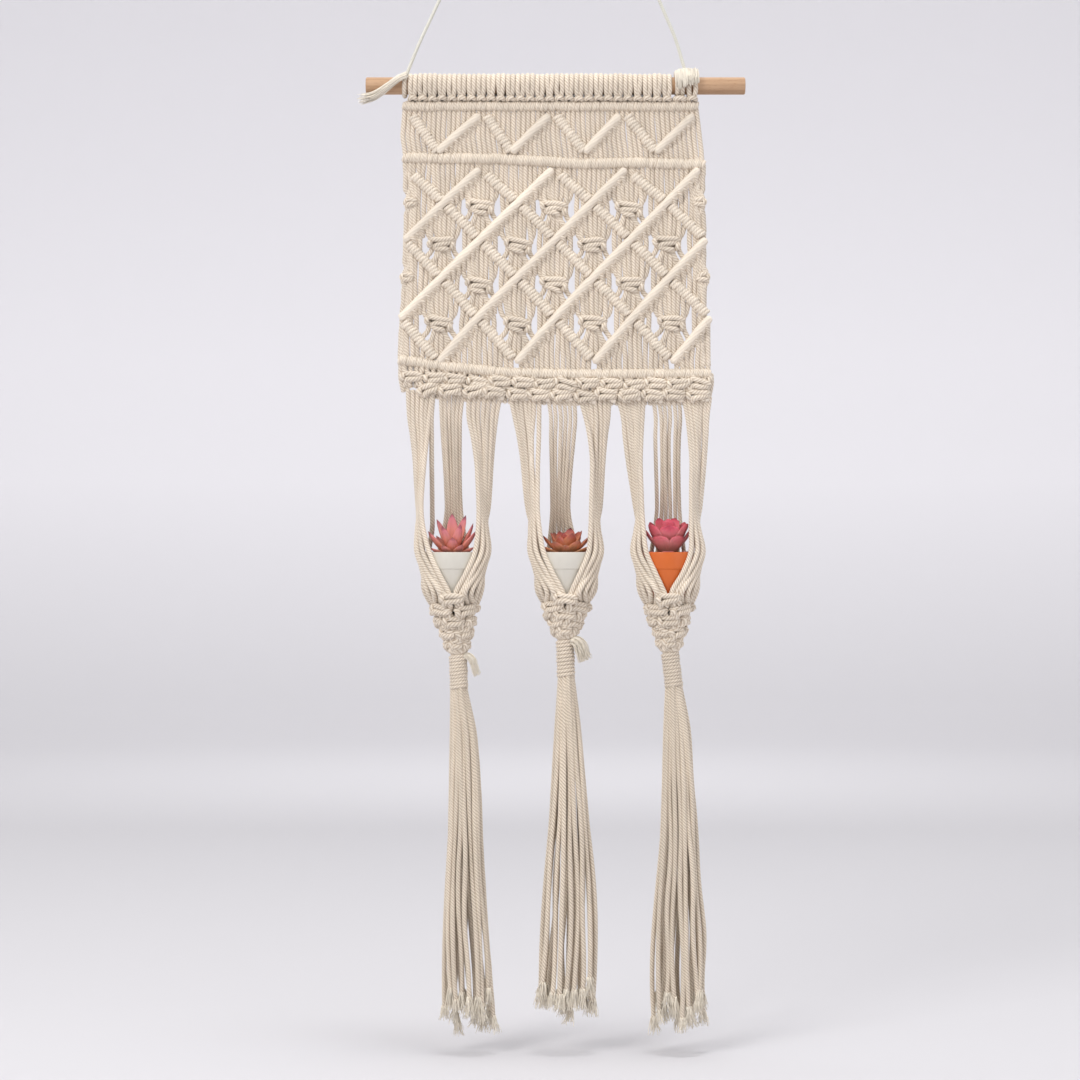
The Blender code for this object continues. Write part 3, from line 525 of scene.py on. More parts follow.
class Shader:
    """A material's node tree, with short calls for the nodes that it needs."""

    def __init__(self, name, roughness, **settings):
        self.material = bpy.data.materials.new(name)
        self.material.use_nodes = True
        self.tree = self.material.node_tree
        self.out = self.tree.nodes["Principled BSDF"]
        self.out.inputs["Roughness"].default_value = roughness
        for name_, value in settings.items():
            self.out.inputs[name_.replace("_", " ")].default_value = value

    def node(self, kind, inputs=(), **settings):
        made = self.tree.nodes.new(kind)
        for name, value in settings.items():
            setattr(made, name, value)
        for key, value in dict(inputs).items():
            if isinstance(value, bpy.types.NodeSocket):
                self.tree.links.new(value, made.inputs[key])
            else:
                made.inputs[key].default_value = value
        return made

    def math(self, operation, a, b=0.0, c=0.0):
        return self.node("ShaderNodeMath", {0: a, 1: b, 2: c}, operation=operation).outputs[0]

    def times(self, a, b):
        return self.math("MULTIPLY", a, b)

    def scaled(self, a, factor, low):
        return self.math("MULTIPLY_ADD", a, factor, low)

    def vector(self, x, y, z=0.0):
        return self.node("ShaderNodeCombineXYZ", {0: x, 1: y, 2: z}).outputs[0]

    def noise(self, vector, scale, detail=2.0, roughness=0.5):
        inputs = {"Vector": vector, "Scale": scale, "Detail": detail, "Roughness": roughness}
        return self.node("ShaderNodeTexNoise", inputs).outputs["Fac"]

    def ramp(self, factor, stops):
        made = self.node("ShaderNodeValToRGB", {0: factor})
        elements = made.color_ramp.elements
        while len(elements) < len(stops):
            elements.new(0.5)
        for element, (place, colour) in zip(elements, stops):
            element.position = place
            element.color = (*colour, 1.0)
        return made.outputs[0]

    def blend(self, factor, a, b, kind="MIX"):
        made = self.node("ShaderNodeMix", {}, data_type="RGBA", blend_type=kind)
        for socket, value in ((made.inputs[0], factor), (made.inputs[6], a), (made.inputs[7], b)):
            if isinstance(value, bpy.types.NodeSocket):
                self.tree.links.new(value, socket)
            else:
                socket.default_value = value if isinstance(value, float) else (*value, 1.0)
        return made.outputs[2]

    def shaded(self, colour, shade):
        return self.blend(1.0, colour, self.vector(shade, shade, shade), "MULTIPLY")

    def place(self):
        return self.node("ShaderNodeTexCoord").outputs["Object"]

    def uv(self, name):
        return self.split(self.node("ShaderNodeUVMap", {}, uv_map=name).outputs[0])[:2]

    def tone(self):
        return self.node("ShaderNodeAttribute", {}, attribute_name="tone").outputs["Fac"]

    def split(self, vector):
        return self.node("ShaderNodeSeparateXYZ", {0: vector}).outputs

    def finish(self, colour, height=None, strength=0.3, distance=0.0005):
        self.tree.links.new(colour, self.out.inputs["Base Color"])
        if height is not None:
            bump = self.node("ShaderNodeBump", {"Height": height, "Strength": strength, "Distance": distance})
            self.tree.links.new(bump.outputs[0], self.out.inputs["Normal"])
        return self.material


def cotton(name, light, deep):
    """Twisted cotton: fibres along each strand, painted shade in the grooves, and each cord its own tone."""
    shader = Shader(name, 0.95, Specular_IOR_Level=0.12, Sheen_Weight=0.25, Sheen_Roughness=0.5)
    u, v = shader.uv("cord")
    tone = shader.tone()
    ridge = shader.times(shader.math("PINGPONG", u, 0.5), 2.0)
    shift = shader.times(tone, 40.0)
    fibre = shader.noise(shader.vector(shader.times(u, 7.0), shader.times(v, 260.0), shift), 1.0)
    mottle = shader.noise(shader.place(), 38.0, 3.0)
    # painted shade: ridge is 1 on each strand's crest and 0 in its grooves, so the colour falls from light on
    # the crests to deep in the grooves
    colour = shader.blend(shader.math("POWER", ridge, 0.55), deep, light)
    shade = shader.scaled(fibre, 0.24, 0.88)
    shade = shader.times(shade, shader.scaled(mottle, 0.18, 0.91))
    shade = shader.times(shade, shader.scaled(tone, 0.12, 0.94))
    return shader.finish(shader.shaded(colour, shade), fibre, strength=0.6)


def loose_cotton(name, light):
    """Untwisted fibre ends."""
    shader = Shader(name, 0.95, Specular_IOR_Level=0.15, Sheen_Weight=0.25, Sheen_Roughness=0.5)
    tone = shader.tone()
    mottle = shader.noise(shader.place(), 90.0, 3.0)
    shade = shader.times(shader.scaled(tone, 0.22, 0.84), shader.scaled(mottle, 0.2, 0.9))
    return shader.finish(shader.shaded(light, shade), mottle, strength=0.2)


def beech(name):
    """Pale beech: grain along X, with short dark flecks."""
    shader = Shader(name, 0.55, Specular_IOR_Level=0.3)
    x, y, z = shader.split(shader.place())
    marks = []
    for along, across, detail in ((9.0, 260.0, 4.0), (160.0, 1400.0, 2.0)):
        stretched = shader.vector(shader.times(x, along), shader.times(y, across), shader.times(z, across))
        marks.append(shader.noise(stretched, 1.0, detail))
    grain, fleck = marks
    stops = ((0.30, (0.38, 0.23, 0.13)), (0.55, (0.50, 0.315, 0.19)), (0.75, (0.60, 0.395, 0.25)))
    dark = shader.ramp(fleck, ((0.60, WHITE), (0.72, (0.72, 0.62, 0.52))))
    colour = shader.blend(1.0, shader.ramp(grain, stops), dark, "MULTIPLY")
    return shader.finish(colour, grain, strength=0.15, distance=0.0002)


def glazed(name, light, deep, roughness):
    """Moulded pot: an even colour with a faint cloud, and a smooth satin surface."""
    shader = Shader(name, roughness, Specular_IOR_Level=0.45)
    cloud = shader.noise(shader.place(), 60.0, 3.0)
    fine = shader.noise(shader.place(), 900.0, 2.0)
    colour = shader.blend(cloud, light, deep)
    return shader.finish(colour, fine, strength=0.05, distance=0.0002)


def earth(name):
    """Dark crumbly soil."""
    shader = Shader(name, 1.0, Specular_IOR_Level=0.1)
    crumb = shader.noise(shader.place(), 420.0, 4.0, 0.7)
    colour = shader.ramp(crumb, ((0.35, (0.012, 0.008, 0.006)), (0.65, (0.075, 0.045, 0.03))))
    return shader.finish(colour, crumb, strength=1.0, distance=0.002)


def fleshy(name, stops, underside):
    """Succulent leaf: its colours run from foot to tip, and the outer leaves are browner."""
    shader = Shader(name, 0.42, Specular_IOR_Level=0.4, Subsurface_Weight=0.08, Subsurface_Scale=0.002)
    u, v = shader.uv("leaf")
    tone = shader.tone()
    cloud = shader.noise(shader.place(), 120.0, 3.0)
    streak = shader.noise(shader.vector(shader.times(u, 18.0), shader.times(v, 2.5), tone), 1.0)
    place = shader.scaled(shader.math("SUBTRACT", cloud, 0.5), 0.25, v)
    colour = shader.ramp(place, stops)
    inner = shader.scaled(v, -0.55, 1.0)
    colour = shader.blend(shader.times(tone, inner), colour, underside)
    colour = shader.shaded(colour, shader.scaled(streak, 0.5, 0.74))
    return shader.finish(colour, streak, strength=0.12, distance=0.0004)


def paper(name, colour):
    """Seamless studio backdrop with painted light: brightest behind the object, and painted shade on the
    floor and high up.
    """
    shader = Shader(name, 1.0, Specular_IOR_Level=0.0)
    height = shader.split(shader.place())[2]
    place = shader.scaled(height, 1 / WALL_HEIGHT, 0.30)
    # painted light: these stops make the paper brightest behind the object and darker on the floor and
    # towards the top
    stops = ((0.0, 0.76), (0.06, 0.79), (0.18, 1.0), (0.26, 1.02), (0.50, 0.96), (1.0, 0.90))
    return shader.finish(shader.ramp(place, [(at, tuple(c * share for c in colour)) for at, share in stops]))


# The deep colour of each twisted cotton is painted shade for the grooves between its strands.
COTTON = cotton("cotton_twist", (0.86, 0.775, 0.66), (0.46, 0.355, 0.25))
WHITE_COTTON = cotton("hanging_cord_twist", (0.82, 0.815, 0.74), (0.60, 0.575, 0.49))
TASSEL_COTTON = cotton("cotton_tassel_twist", (0.86, 0.765, 0.64), (0.36, 0.275, 0.185))
SOFT_ENDS = loose_cotton("cotton_soft_ends", (0.84, 0.775, 0.665))
FRAYED = loose_cotton("cotton_fibre", (0.95, 0.875, 0.745))
WOOD = beech("beech")


# ---- camera, lights and backdrop --------------------------------------------------------------


def make_camera():
    data = bpy.data.cameras.new("camera")
    data.lens = CAMERA_LENS
    camera = link(bpy.data.objects.new("camera", data))
    camera.location = CAMERA_PLACE
    camera.rotation_euler = (math.radians(90), 0, 0)
    bpy.context.scene.camera = camera


def area_light(name, place, target, size, power, colour):
    data = bpy.data.lights.new(name, "AREA")
    data.shape = "DISK"
    data.size = size
    data.energy = power
    data.color = colour
    light = link(bpy.data.objects.new(name, data))
    light.location = place
    light.rotation_euler = (Vector(target) - Vector(place)).to_track_quat("-Z", "Y").to_euler()
    light.visible_camera = False


def make_studio():
    """A round seamless sweep, so that every side has the same pale backdrop."""
    profile = [(0.0, FLOOR_Z)]
    for i in range(13):
        angle = math.pi / 2 * i / 12
        rise = SWEEP_RADIUS * (1 - math.cos(angle))
        profile.append((FLOOR_RADIUS + SWEEP_RADIUS * math.sin(angle), FLOOR_Z + rise))
    profile.append((FLOOR_RADIUS + SWEEP_RADIUS, FLOOR_Z + WALL_HEIGHT))
    studio = turned("studio_backdrop", profile, (0, 0), 96)
    studio.data.materials.append(paper("backdrop_paper_painted_light", (0.80, 0.79, 0.82)))
    world = bpy.data.worlds.new("studio")
    bpy.context.scene.world = world
    world.use_nodes = True
    world.node_tree.nodes["Background"].inputs["Color"].default_value = (1.0, 0.995, 0.99, 1.0)
    world.node_tree.nodes["Background"].inputs["Strength"].default_value = SKY_STRENGTH
    for light in LIGHTS:
        area_light(*light)
    bpy.context.scene.view_settings.view_transform = "Standard"


def turned(name, profile, place, sides, axis="Z"):
    """A turned surface. The profile holds (radius, height); axis X lays it along X."""
    points, faces, rows = [], [], []
    for radius, height in profile:
        count = sides if radius > 0 else 1
        rows.append(range(len(points), len(points) + count))
        for i in range(count):
            angle = 2 * math.pi * i / sides
            section = (place[0] + radius * math.cos(angle), place[1] + radius * math.sin(angle))
            points.append((*section, height) if axis == "Z" else (height, *section))
    for low, high in zip(rows, rows[1:]):
        for i in range(sides):
            j = (i + 1) % sides
            corners = [low[i % len(low)], low[j % len(low)], high[j % len(high)], high[i % len(high)]]
            faces.append(tuple(dict.fromkeys(corners)))
    mesh = bpy.data.meshes.new(name)
    mesh.from_pydata(points, [], faces)
    mesh.shade_smooth()
    mesh.set_sharp_from_angle(angle=math.radians(35))
    return link(bpy.data.objects.new(name, mesh))


# ---- tassels (the free cords) -----------------------------------------------------------------


def tassel_line(number, place, length, drift):
    """The route of one hanging strand: gathered at the wrap, then opening out."""
    aside, back = place
    slip_x, slip_y, wave, phase = drift
    top = PLANTERS[number]["wrap"][1] + TASSEL_TUCK
    ahead = -0.0013 if round(aside * 10) % 2 else 0.0009
    keys = []
    for i in range(TASSEL_KEYS):
        drop = length * i / (TASSEL_KEYS - 1)
        half = smooth_station(TASSELS[number], drop, 1)
        middle = smooth_station(TASSELS[number], drop, 2)
        sway = (drop / 0.34) ** 1.3
        bow = math.sin(math.pi * min(1.0, max(0.0, (drop / length - 0.45) / 0.55)))
        x = middle + (half - 0.0022) * aside + slip_x * sway + 0.0024 * bow * aside
        x += (0.0004 + 0.0014 * sway) * math.sin(drop * wave + phase)
        y = half * TASSEL_DEPTH * back + slip_y * sway + ahead * math.exp(-drop / 0.05)
        y += (0.0010 + 0.0014 * sway) * math.sin(drop * phase * 6 + wave)
        keys.append((x, y, top - drop))
    return curve(keys)


def smooth_station(stations, drop, column):
    return smooth([(station[0], station[column]) for station in stations][::-1], drop)


def frayed_cord(cords, frays, line, split):
    """A twisted cord whose end opens into loose fibres."""
    body = line[: split + 3]
    radius = np.full(len(body), CORD / 2)
    radius[-4:] *= CORD_TIP
    cords.add(body, radius, lay=LAY * RNG.uniform(0.9, 1.15))
    fibres(frays, line[split - 1 :: 2], FRAY_RADII, FRAY_FIBRES, wander=0.0011)


def make_tassel(number):
    """Each free strand is a cord of its own with its opened end. The strands at the back are one piece."""
    body = f"tassel_{number + 1}"
    inner, inner_frays = Cords(), Cords()
    for i, place in enumerate(tassel_places()):
        line = tassel_strand(number, place)
        split = len(line) - round(RNG.uniform(*FRAY_LENGTHS) / RING_STEP)
        if i >= FREE_STRANDS:
            frayed_cord(inner, inner_frays, line, split)
            continue
        cords, frays = Cords(), Cords()
        frayed_cord(cords, frays, line, split)
        nodes = [body] if i == 0 else []
        piece = settle(cords.build(f"{body}_strand_{i + 1}"), body, TASSEL_COTTON, "cotton_cord", *nodes)
        end = settle(frays.build(f"{body}_fray_{i + 1}"), body, FRAYED, "cotton_cord")
    settle(inner.build(f"{body}_inner_strands"), body, TASSEL_COTTON, "cotton_cord")
    settle(inner_frays.build(f"{body}_inner_frays"), body, FRAYED, "cotton_cord")


def tassel_strand(number, place):
    length = RNG.uniform(*STRAND_LENGTHS)
    drift = (RNG.normal(0, 0.0013), RNG.normal(0, 0.0012), RNG.uniform(14, 60), RNG.uniform(1, 7))
    return tassel_line(number, place, length, drift)


def tassel_places():
    """Where a tassel's strands stand: a front, a middle and a back row, each (x, y) in -1..1."""
    front = [(x, -1 + 0.5 * x * x) for x in np.linspace(-0.84, 0.84, 7)]
    middle = [(x, 0.0) for x in np.linspace(-1.0, 1.0, 6)]
    back = [(-x, -y) for x, y in front]
    return [*front, *middle, *back]


# ---- dowel and hanging cord -------------------------------------------------------------------


def make_dowel():
    """A round stick with its sawn edges lightly broken."""
    profile = [(radius, DOWEL_LOW.x + inset) for inset, radius in DOWEL_EDGE]
    profile += [(radius, DOWEL_HIGH.x - inset) for inset, radius in reversed(DOWEL_EDGE)]
    settle(turned("beech_dowel", profile, (0.0, DOWEL_Z), 64, "X"), "hanger", WOOD, "dowel_wood", "dowel")


def dowel_arc(x, first, last, reach, lean=0.0, count=9):
    """Keys round the dowel. The angle is 0 at the top and grows towards the front."""
    keys = []
    for i in range(count):
        share = i / (count - 1)
        angle = math.radians(first + (last - first) * share)
        keys.append((x + lean * share, -reach * math.sin(angle), DOWEL_Z + reach * math.cos(angle)))
    return keys


def make_hanging_cord():
    """Down from the hook's bend to the hitch at each side, in one piece."""
    middle = np.array((0.0, 0.0, HANGING_CORD / 2 - HOOK_BEND))
    halves = []
    for side, (x, z) in ((-1, LEFT_FOOT), (1, RIGHT_FOOT)):
        foot = np.array((x, 0.0, z))
        offset = foot - middle
        heading = math.atan2(offset[2], offset[0]) % (2 * math.pi) - (2 * math.pi if side > 0 else 0.0)
        touch = heading + side * math.acos(HOOK_BEND / np.linalg.norm(offset))
        bend = [touch + (math.pi / 2 - touch) * i / 5 for i in range(5)]
        arc = [middle + HOOK_BEND * np.array((math.cos(a), 0.0, math.sin(a))) for a in bend]
        leg = [foot + (arc[0] - foot) * i / 12 for i in range(12)]
        wrap = dowel_arc(x + side * 0.0005, 0, 60, LOOP_REACH, 0.0, 3)
        halves.append([*wrap[::-1], *leg[1:], *arc])
    top = middle + np.array((0.0, 0.0, HOOK_BEND))
    cords = Cords()
    cords.add(curve([*halves[0], top, *halves[1][::-1]]), HANGING_CORD / 2, lay=0.009)
    settle(cords.build("hanging_cord_twisted"), "hanger", WHITE_COTTON, "hanging_cord", "hanging_cord")


def holding_turn(x, z, foot, shoulder, dip):
    """Keys, from left to right, of the short turn in front that holds two cords together."""
    left = ((foot, -0.0010, -0.0008), (shoulder, -0.0064, -dip))
    keys = [(x - aside, y, z + rise) for aside, y, rise in left]
    keys.append((x, -0.0090, z + 0.0003))
    return keys + [(x + aside, y, z + rise) for aside, y, rise in reversed(left)]


def make_hitches():
    """The cord's own turns round the dowel, and the strand that ties the right ones together."""
    for node, places in HITCHES:
        cords = Cords()
        for x in places:
            turn = dowel_arc(x, 0, 360, LOOP_REACH, 0.0, 17)[:-1]
            cords.add(curve(turn, closed=True), 0.00245, closed=True)
        if len(places) > 1:
            z = DOWEL_Z - 0.0136
            cords.add(curve(holding_turn(sum(places) / 2, z, 0.0052, 0.0046, 0.0)), LOOP_CORD)
            for x in places:
                end = [(x, -0.0040, z + 0.002), (x, -0.0040, z - 0.003), (x, -0.0030, z - 0.006)]
                cords.add(curve(end), 0.0024)
        tie(cords, f"{node}_turns", "hanger", node)


def make_left_tail():
    """The thick spare end that crosses the dowel and frays at its tip."""
    cords = Cords()
    for aside, drop, radius in LEFT_TAIL_STRANDS:
        line = curve([(x, y - aside, z + drop) for x, y, z in LEFT_TAIL[:-1]], 0.0016)
        cords.add(line, np.linspace(radius * 0.75, radius * 1.1, len(line)), lay=0.030)
    fibres(cords, curve(LEFT_TAIL, 0.002), LEFT_TAIL_RADII, LEFT_TAIL_FIBRES, wander=0.0005)
    settle(cords.build("left_tail_frayed"), "hanger", SOFT_ENDS, "cotton_cord", "left_tail")


def make_right_tuft():
    """The folded end of the hanging cord, lying over the right hitch and the last lark's heads."""
    cords = Cords()
    for i in range(TUFT_STRANDS):
        share = i / (TUFT_STRANDS - 1)
        reach = TUFT_REACH - 0.0022 * abs(2 * share - 1) ** 2
        last = 98 - 16 * share + RNG.normal(0, 3)
        path = curve(dowel_arc(TUFT_LEFT + TUFT_WIDTH * share, -32, last, reach, 0.0004, 7), 0.002)
        radius = np.full(len(path), 0.0024)
        radius[-4:] *= TUFT_TIP
        cords.add(path, radius, lay=0.05, lobes=5, groove=0.08)
    for _ in range(TUFT_FIBRES):
        share = RNG.beta(1.2, 1.0)
        x = TUFT_LEFT - 0.0012 + (TUFT_WIDTH + 0.0035) * share
        reach = TUFT_REACH + 0.0021 - 0.0022 * abs(2 * share - 1) ** 2
        reach += RNG.uniform(-0.0008, 0.0006) + 0.0012 * (share > 0.85)
        last = 104 - 22 * share + RNG.uniform(-26, 10)
        keys = dowel_arc(x, -30 + RNG.uniform(0, 14), last, reach, RNG.uniform(-0.0022, 0.0022), 7)
        cords.add(curve(keys, 0.002), RNG.uniform(0.00035, 0.00070), lay=1.0, lobes=1, groove=0.0)
    settle(cords.build("right_tuft_fibres"), "hanger", SOFT_ENDS, "cotton_cord", "right_tuft")


# ---- panel ------------------------------------------------------------------------------------


def larks_head(cords, x, pitch):
    """One cord folded over the dowel: two loops in front, and the turn that holds its two ends."""
    half = pitch / 4
    wobble = RNG.uniform(-0.0004, 0.0004)
    lean = RNG.normal(0, 0.00030)
    reach = LOOP_REACH + RNG.uniform(-0.0004, 0.0004)
    side = [(-half * 0.9, 0.0000, DOWEL_Z - 0.0200), (-half * 0.9, 0.0020, DOWEL_Z - 0.0150)]
    side += [(-half * 0.99, y, z) for _, y, z in dowel_arc(0.0, -125, 78, reach, 0.0, 8)]
    side.append((-half * 0.92 + lean, -0.0100, DOWEL_Z - 0.0045 + wobble))
    side.append((-half * 0.66 + lean, -0.0080, DOWEL_Z - 0.0095 + wobble))
    side.append((-half * 0.5, -0.0045, DOWEL_Z - 0.0120))
    for sign in (1, -1):
        cords.add(curve([(x + sign * a, y, z) for a, y, z in side]), LOOP_CORD)
    z = DOWEL_Z - 0.0134 + wobble
    cords.add(curve(holding_turn(x, z, half * 1.25, half * 1.10, 0.0002)), LOOP_CORD)


def make_larks_heads():
    row, end = Cords(), Cords()
    pitch = (ROW_END - ROW_START) / ROW_KNOTS
    for i in range(ROW_KNOTS):
        larks_head(row, ROW_START + pitch * (i + 0.5), pitch)
    larks_head(end, (END_START + END_END) / 2, END_END - END_START - 0.001)
    tie(row, "larks_head_knots", "panel", "larks_head_row")
    tie(end, "larks_head_end_knots", "panel", "larks_head_end")


def line_point(line, x):
    return np.array((x, 0.0, between(line, x)))


def level_bar(cords, line, count):
    """A nearly level row of hitches: each strand turns twice round the cord that they are tied to."""
    start, end = line[0][0], line[-1][0]
    turns = 2 * count
    pitch = (end - start) / turns
    for i in range(turns):
        x = start + pitch * (i + 0.5) + RNG.normal(0, 0.00018)
        edge = min(i, turns - 1 - i)
        size = BAR_TAPER[edge] if edge < len(BAR_TAPER) else 1 + RNG.normal(0, 0.025)
        centre = line_point(line, x) + RNG.normal(0, 0.00018, 3) + FRONT * BAR_OUT
        lean = 0.0006 + RNG.normal(0, 0.0003)
        keys = ellipse(centre, -DOWN, FRONT, BAR_LOOP * size, 0.0037 * size, RIGHT, lean)
        radius = BAR_CORD + RNG.normal(0, 0.00010)
        cords.add(curve(keys, closed=True), radius, closed=True, groove=0.15)
    middles = np.linspace(start + 0.003, end - 0.003, 21)
    core = [line_point(line, x) + FRONT * BAR_OUT for x in middles]
    cords.add(curve(core), BAR_CORE, lobes=6, groove=0.04, tone=0.0)


def make_level_bars():
    for name, line in LEVEL_BARS:
        cords = Cords()
        level_bar(cords, line, STRANDS)
        tie(cords, f"{name}_turns", "panel", name)


def hitched_diagonal(cords, start, end):
    """A diagonal whose turns stand across it, as in the bars that run down to the right."""
    start, end = np.asarray(start, float), np.asarray(end, float)
    along = unit(end - start)
    up = np.cross(along, FRONT)
    up = up if up[2] > 0 else -up
    count = max(2, round(np.linalg.norm(end - start) / HITCH_PITCH))
    for i in range(count):
        centre = start + (end - start) * (i + 0.5) / count + RNG.normal(0, 0.00022, 3)
        size = 1 + RNG.normal(0, 0.05)
        lean = 0.0006 + RNG.normal(0, 0.0004)
        keys = ellipse(centre, up, FRONT, HITCH_HEIGHT * size, HITCH_DEPTH, along, lean, 12)
        cords.add(curve(keys, closed=True), DIAGONAL_CORD + RNG.normal(0, 0.00008), closed=True, groove=0.12)
    inside = (end - start) * 0.06
    cords.add(curve([start + inside, (start + end) / 2, end - inside]), HITCH_CORE, lobes=6, groove=0.04)


def laid_diagonal(cords, keys):
    """A diagonal whose turns lie nearly along it, as in the bars that run down to the left."""
    line = curve(keys, 0.0014)
    stations = np.arange(0, len(line) + 6, 6)
    uneven = RNG.normal(0, 0.00020, len(stations))
    radius = DIAGONAL_RADIUS + np.interp(np.arange(len(line)), stations, uneven)
    radius[:2] *= (0.80, 0.93)
    cords.add(line, radius, lay=-0.090, lobes=8, groove=0.085)


def laid_diagonal_curls(cords, start, end):
    """Where each strand leaves a laid diagonal: a small curl over its lower side."""
    start, end = np.asarray(start, float), np.asarray(end, float)
    count = max(2, round(abs(end[0] - start[0]) / STRAND_PITCH))
    along = unit(end - start)
    under = np.cross(along, FRONT)
    under = under if under[2] < 0 else -under
    inset = under * 0.0036 - FRONT * 0.0014
    cords.add(curve([start + inset, end + inset]), 0.0025, lobes=5, groove=0.05)
    for i in range(count):
        foot = start + (end - start) * (i + 0.5) / count + RNG.normal(0, 0.0004, 3)
        keys = []
        for low, out, ahead, fall in CURL:
            keys.append(foot + under * low + FRONT * out + along * ahead + DOWN * fall)
        cords.add(curve(keys), CURL_CORD)


def make_zigzag():
    strands, bars = Cords(), Cords()
    for i in range(STRANDS):
        share = (i + 0.5) / STRANDS
        low = between(MIDDLE_BAR, panel_x(share, -0.4))
        strands.add(plain_strand(share, ZIGZAG_TOP, low), CORD / 2 + 0.00012)
    high, low = ZIGZAG_PEAK, ZIGZAG_VALLEY
    for i, (x0, x1) in enumerate(zip(ZIGZAG_X, ZIGZAG_X[1:])):
        if i % 2 == 0:
            start = (x0 + 0.0048, DIAGONAL_Y, high + 0.0005)
            hitched_diagonal(bars, start, (x1 - 0.001, DIAGONAL_Y, low - 0.0040))
        else:
            top = (x1 - 0.0030, DIAGONAL_Y - 0.0006, high + 0.0010)
            middle = ((x0 + x1) / 2, DIAGONAL_Y - 0.0012, (high + low) / 2)
            laid_diagonal(bars, [top, middle, (x0, DIAGONAL_Y - 0.0010, low - 0.0045)])
            laid_diagonal_curls(bars, (x0 + 0.003, DIAGONAL_Y, low - 0.001), (x1 - 0.004, DIAGONAL_Y, high))
    tie(strands, "zigzag_band_strands", "panel", "zigzag_strands")
    tie(bars, "zigzag_hitches", "panel", "zigzag_bar")


def net_width(z):
    """How much the net widens on its way down, as the panel does."""
    return between(NET_WIDENING, z)


def plain_strand(share, top, bottom):
    """A strand that hangs straight between two bars, with a slight waver."""
    phase, bow = RNG.uniform(0, 6), RNG.normal(0, 0.00025)
    keys = []
    for i in range(6):
        z = top + (bottom - top) * i / 5
        swell = math.sin(math.pi * i / 5)
        x = panel_x(share, z) + bow * swell + 0.0002 * math.sin(phase + i)
        keys.append((x, RNG.normal(0, 0.0002) * swell, z))
    return curve(keys)


def net_node(column, row):
    middle = NET_LEFT + NET_PITCH * (NET_COLUMNS - 1) / 2
    offset = NET_LEFT + NET_PITCH * column - middle
    return middle + offset * net_width(NET_ROWS[row]), NET_ROWS[row]


def net_point(column, row, y=DIAGONAL_Y):
    x, z = net_node(column, row)
    return np.array((x, y, z))


def make_diagonals():
    """Six long laid bars down to the left, and the hitched bars between them."""
    for number, (column, row) in enumerate(LONG_BARS, 1):
        points = []
        while column >= 0 and row < len(NET_ROWS):
            points.append(net_point(column, row, DIAGONAL_Y - 0.0016))
            column, row = column - 1, row + 1
        if number <= 4:
            points[0] = points[0] + np.array((-0.0030, 0.0, 0.0015))
        points[-1] = points[-1] + np.array((0.0008, 0.0012, -0.0004))
        cords = Cords()
        laid_diagonal(cords, points)
        for a, b in zip(points, points[1:]):
            laid_diagonal_curls(cords, b + (a - b) * 0.06, a + (b - a) * 0.10)
        tie(cords, f"diagonal_laid_{number}", "panel", f"diagonal_bar_{number}")
    cords = Cords()
    for row in range(len(NET_ROWS) - 1):
        for column in range(row % 2, NET_COLUMNS - 1, 2):
            start, end = net_point(column, row), net_point(column + 1, row + 1)
            begin = 0.13 if row == 0 else 0.10
            hitched_diagonal(cords, start + (end - start) * begin, end + (start - end) * 0.09)
    tie(cords, "diagonal_hitches", "panel")


def cell_edges(column, row, x):
    """The heights of the bars over and under a place in a cell of the net."""
    middle_x, middle = net_node(column, row)
    share = min(1.0, abs(x - middle_x) / (NET_PITCH * net_width(middle)))
    top = NET_ROWS[row - 1] if row else between(MIDDLE_BAR, x)
    bottom = NET_ROWS[row + 1] if row + 1 < len(NET_ROWS) else between(BOTTOM_BAR, x)
    high = top if row == 0 else middle + (top - middle) * (1 - share)
    low = bottom if row + 1 == len(NET_ROWS) else middle + (bottom - middle) * (1 - share)
    return high, low


def plain_cell_strand(x, high, low, bow=0.0):
    keys = [(x, 0.0, high)]
    for share in (0.33, 0.67):
        z = high + (low - high) * share
        keys.append((x + bow + RNG.normal(0, 0.0004), RNG.normal(0, 0.0004), z))
    return curve([*keys, (x, 0.0, low)])


def whole_diamond(strands, column, row):
    """Seven strands a side: four gathered by a knot, and the rest beside the see-through places."""
    middle_x, middle_z = net_node(column, row)
    wide = net_width(middle_z)
    place = np.array((middle_x + RNG.normal(0, 0.0010), -0.0024, middle_z - 0.0052 + RNG.normal(0, 0.0012)))
    tilt = RNG.normal(0.03, 0.11)
    knot = square_knot(place, FRONT, RIGHT, KNOT_REACH, 3, 0.0049, 0.0044, tilt, 0.36)
    for side in (-1, 1):
        for k in range(HALF_CELL):
            x = middle_x + side * (k + 0.5) * STRAND_PITCH * wide
            high, low = cell_edges(column, row, x)
            if k >= len(GATHERED):
                strands.add(plain_cell_strand(x, high, low, -side * 0.0004 * (k == 4)), PLAIN_STRAND)
            elif k == TYING_STRAND:
                other = 2 * middle_x - x
                keys = [(x, 0.0, high), (x - side * 0.0012, -0.0006, high - 0.0050), *knot[side > 0]]
                keys.append((place[0] - side * KNOT_REACH, -0.0026, place[2] - 0.0150))
                keys.append((other, 0.0, cell_edges(column, row, other)[1]))
                strands.add(curve(keys), KNOT_CORD)
            else:
                keys = [(x, 0.0, high), *gathered_keys(place, side, k, x), (x, 0.0, low)]
                strands.add(curve(keys), PLAIN_STRAND)


def gathered_keys(place, side, k, x):
    """How one strand runs in to a diamond's knot and out again."""
    level, reach, out = GATHERED[k]
    keys = []
    for drop, share in ((-level, 1.0), (-0.0045, 0.0), (0.0055, 0.0), (level, 1.0)):
        near = place[0] + side * reach
        keys.append((near + (x - near) * share * 0.62 + RNG.normal(0, 0.0003), -out, place[2] - drop))
    return keys


